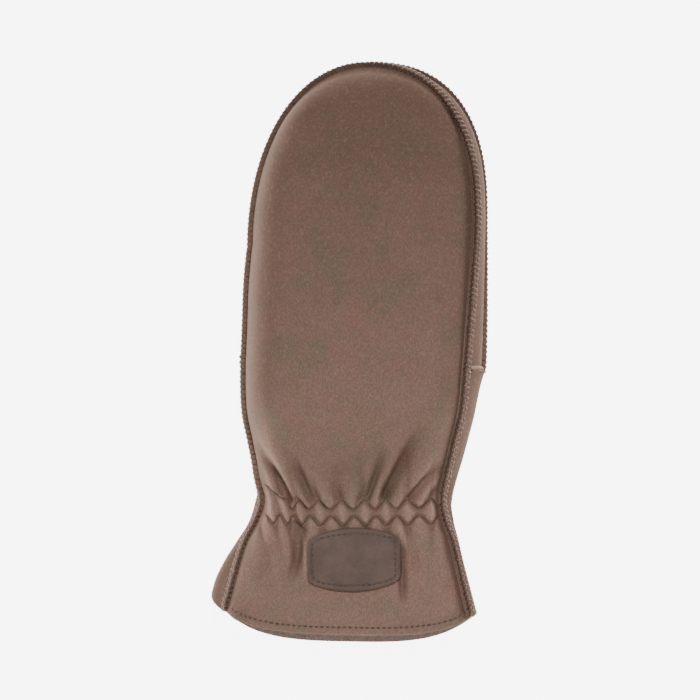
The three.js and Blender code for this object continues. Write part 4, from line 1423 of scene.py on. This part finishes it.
def smooth_leather_look():
    look = Look("Smooth leather")
    blotch = look.noise(9, 3.0, 0.55)
    grain = look.noise(0.9, 3.0, 0.6, shift=0.4)
    colour = look.mix(blotch.between(0.35, 0.65), rgb(99, 80, 71), rgb(88, 70, 62))
    colour = look.mix(grain.between(0.4, 0.7) * 0.3, colour, rgb(112, 92, 82))
    height = look.bump(blotch, 0.4, 0.4)
    height = look.bump(grain, 0.1, 0.5, height)
    rough = 0.56 + grain * 0.18
    return look.finish(Base_Color=colour, Roughness=rough, Normal=height, Specular_IOR_Level=0.35)


smooth_leather = smooth_leather_look()


def thread_look(name, light, dark):
    look = Look(name)
    twist = look.noise(0.8, 1.0, 0.5)
    colour = look.mix(twist.between(0.35, 0.65), dark, light)
    height = look.bump(twist, 0.12, 0.6)
    return look.finish(Base_Color=colour, Roughness=0.8, Normal=height)


seam_thread = thread_look("Seam thread", rgb(126, 104, 93), rgb(96, 78, 69))
dark_thread = thread_look("Dark thread", rgb(104, 84, 74), rgb(76, 61, 53))
print("materials", [material.name for material in bpy.data.materials])

# %% [markdown]
# Every sewn line of the real mitten, in turn. The overcast stitch wraps both lips of a seam; the elastic is
# held by two zigzag rows of dark thread that pull grooves into the suede; the hem and the patch are sewn
# with a short straight stitch.

# %% Overcast seams
OVERCAST_STEP = 2.4
DENSE_ALONGS = np.linspace(FIRST_ALONG, CORNER_ALONG, 400)
DENSE_SHARES = np.linspace(0, 1, 120)[1:]

loop = overcast_loop()
rim_line = round_seam("inner", DENSE_ALONGS, DENSE_SHARES)


def overcast(name, seam, seed):
    line = stitch_line(name + "_line", seam["point"] + seam["out"] * LIP, seam["out"], seam["tangent"])
    return sewn(name, line, loop, OVERCAST_STEP, seed, seam_thread, turn=0.1, size=0.1)


rim_stitches = overcast("rim_stitches", part_of(rim_line, 4, -4), 3)

hand_alongs = np.linspace(CROSS_ALONG, CORNER_ALONG, 240)
outer_line = whole_seam("outer", hand_alongs, DENSE_SHARES)
inner_line = whole_seam("inner", hand_alongs, DENSE_SHARES)
apart = np.linalg.norm(outer_line["point"] - inner_line["point"], axis=-1)
first_apart = int(np.argmax(apart > 2 * SEAM_EDGE + 2 * WALL))
outer_stitches = overcast("outer_stitches", part_of(outer_line, first_apart, -3), 5)
thumb_line = thumb_seam(CROSS_Y + 2 * SEAM_EDGE, 60, 40)
thumb_stitches = overcast("thumb_stitches", part_of(thumb_line, 2, -2), 7)

# %% [markdown]
# Where the seam across the palm runs into the side seams, the thread is fastened off in small hard knots. A
# sphere with a lumpy skin is all that shows of one at this size.

# %% Knots where the cross seam meets the side seams
KNOT_LUMPS = 0.16
KNOTS = (("left", 0.488, 0.95), ("left", 0.4785, 0.85), ("inner", 0.4668, 1.15))


def knot(number, seam, along, radius):
    frames = whole_seam(seam, np.array([along - 0.002, along, along + 0.002]), np.array([]))
    centre = (frames["point"] + frames["out"] * (LIP - 0.1))[1] - MIDDLE
    bpy.ops.mesh.primitive_uv_sphere_add(segments=16, ring_count=10, radius=radius * MM, location=(0, 0, 0))
    made = bpy.context.object
    made.name = f"seam_knot_{number}"
    for vertex in made.data.vertices:
        lumpy = 1 + KNOT_LUMPS * math.sin(5000 * vertex.co.x + number) * math.sin(4200 * vertex.co.y)
        vertex.co = vertex.co * lumpy + Vector(centre * MM)
    made.data.shade_smooth()
    made.data.materials.append(seam_thread)
    return made


knots = [knot(number, *values) for number, values in enumerate(KNOTS, 1)]
print("knots", len(knots))

# %% [markdown]
# The elastic's own thread lies at the bottom of the grooves beside the pillows. It follows the same zigzag
# that shaped the suede, so one tube for each row, dropped onto the finished back, stays in its groove
# without any fitting.

# %% The elastic's two zigzag rows
THREAD_RADIUS = 0.21
THREAD_LIFT = 0.12
ROW_ENDS = (-0.705, 0.73)


def zigzag_row(name, side):
    x = np.linspace(*ROW_ENDS, 900) * HALF_WIDTH
    wave = pleat_wave(x, elastic_middle(x))
    y = elastic_middle(x) + side * row_distance(x, wave, side > 0)
    points, normals = laid_on(back_tree, x, y)
    lift = THREAD_LIFT + THREAD_LIFT * np.cos(np.arcsin(np.clip(wave, -1, 1)) * 2)
    made = tube_mesh(name, points + normals * lift[:, None] - MIDDLE, THREAD_RADIUS, taper=1.0)
    made.data.materials.append(dark_thread)
    return made


zigzag_threads = [zigzag_row("elastic_thread_upper", 1), zigzag_row("elastic_thread_lower", -1)]

# %% [markdown]
# The hem is turned in and the patch is held by short straight stitches. Each row is a line drawn on the
# plan and dropped onto the leather under it, which gives both the places and the normals that the stitches
# stand on.

# %% Hem stitches and patch stitches
RUN_STEP = 2.6
HEM_RUN = 1.8
PATCH_RUN = 1.9
HEM_SIDE = 1.5
PATCH_CORNER_POWER = 2 / 9


def running(name, points, normals, length, seed):
    line = stitch_line(name + "_line", points, normals, unit(np.gradient(points, axis=0)))
    return sewn(name, line, running_stitch(length), RUN_STEP, seed, dark_thread, turn=0.05, size=0.12)


def squared(wave):
    """A cosine or sine drawn out, so that a ring of places runs along a rectangle's sides."""
    return np.sign(wave) * np.abs(wave) ** PATCH_CORNER_POWER


hem_u = np.linspace(0.012, 0.988, 500)
hem_start = FIRST_ALONG + HEM_INSET / LENGTH
hem_left, hem_right = [side_points(seam, np.array([hem_start]))[0] for seam in ("left", "inner")]
hem_x = lerp(hem_left[0] + HEM_SIDE, hem_right[0] - HEM_SIDE, hem_u)
hem_y = lerp(hem_left[1], hem_right[1], hem_u) + hem_pull(hem_start) * hem_curve(hem_u, 0)
hem_stitches = running("hem_stitches", *laid_on(back_tree, hem_x, hem_y), HEM_RUN, 11)

around = np.linspace(0, 2 * math.pi, 400)
patch_u = squared(np.cos(around)) * (1 - PATCH_INSET / (PATCH_WIDTH / 2))
patch_v = squared(np.sin(around)) * (1 - PATCH_INSET / (PATCH_HEIGHT / 2))
patch_places = laid_on(tree_of(patch), *patch_plan(patch_u, patch_v))
patch_stitches = running("patch_stitches", *patch_places, PATCH_RUN, 13)

# %% [markdown]
# Each finished piece takes the place of its CAD node, and the thread is added on top.

# %% Pieces and slots
REPLACING = (
    (back, "back_panel", suede, "suede"),
    (gusset, "side_gusset", suede, "suede"),
    (upper, "palm_upper", suede, "suede"),
    (lower, "palm_lower", suede, "suede"),
    (thumb, "thumb_top", suede, "suede"),
    (patch, "label_patch", smooth_leather, "smooth_leather"),
)
SEWING = (rim_stitches, outer_stitches, thumb_stitches, hem_stitches, patch_stitches, *zigzag_threads, *knots)
for piece, node, leather, slot in REPLACING:
    piece.data.materials.append(leather)
    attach(piece, "root")
    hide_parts(node)
for piece in SEWING:
    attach(piece, "root")
for made in list(bpy.data.objects):
    if made.name.startswith(("overcast_loop", "running_stitch")):
        bpy.data.objects.remove(made)
print("panels", len(REPLACING), "pieces of sewing", len(SEWING))

# %% [markdown]
# The mitten was photographed from straight above under broad, soft light. Here the table is pale and glows
# strongly, so that it is itself a broad light: it shows white and lights the mitten's flanks from beside and
# below. A lamp beyond the fingertips, a little to the right, gives the folds their shape, and a wider,
# weaker one on the cuff's side fills the shadows.

# %% Table, light and camera
WHITE = (1, 1, 1, 1)
PALE = (0.9, 0.9, 0.9, 1)
TABLE_SIZE = 6.0
TABLE_GLOW = 6.5
TABLE_BELOW = -0.0002
WORLD_GLOW = 0.3
CAMERA_HEIGHT = 2.0
FRAME_WIDTH = 0.3275
FRAME_HEIGHT = 0.012
SENSOR_WIDTH = 36

bpy.ops.mesh.primitive_plane_add(size=TABLE_SIZE, location=(0, 0, TABLE_BELOW))
table_top = bpy.context.object
table_top.name = "table"
table_look = Look("table")
# The table glows and lights the mitten, though it is no lamp.
table_look.finish(Base_Color=PALE, Roughness=0.9, Emission_Color=WHITE, Emission_Strength=TABLE_GLOW)
table_top.data.materials.append(table_look.material)


def area_lamp(name, place, size, power):
    """A round lamp that faces the mitten's middle."""
    lamp = in_scene(name, bpy.data.lights.new(name, "AREA"))
    lamp.data.shape = "DISK"
    lamp.data.size = size
    lamp.data.energy = power
    lamp.location = place
    lamp.rotation_euler = (-Vector(place)).to_track_quat("-Z", "Y").to_euler()


area_lamp("key", place=(0.1, 0.5, 1.2), size=0.4, power=11)
area_lamp("fill", place=(-0.2, -1.0, 1.2), size=0.9, power=6)
world = bpy.data.worlds.new("world")
world.use_nodes = True
sky = world.node_tree.nodes["Background"]
sky.inputs["Color"].default_value = WHITE
sky.inputs["Strength"].default_value = WORLD_GLOW
bpy.context.scene.world = world

# FRAME_WIDTH is how wide the picture is at FRAME_HEIGHT, about where the mitten's outline lies.
camera = in_scene("camera", bpy.data.cameras.new("camera"))
camera.location = (-MIDDLE[0] * MM, -MIDDLE[1] * MM, CAMERA_HEIGHT)
camera.data.sensor_width = SENSOR_WIDTH
camera.data.lens = SENSOR_WIDTH * (CAMERA_HEIGHT - FRAME_HEIGHT) / FRAME_WIDTH
bpy.context.scene.camera = camera
print("lens", round(camera.data.lens, 1), "mm")
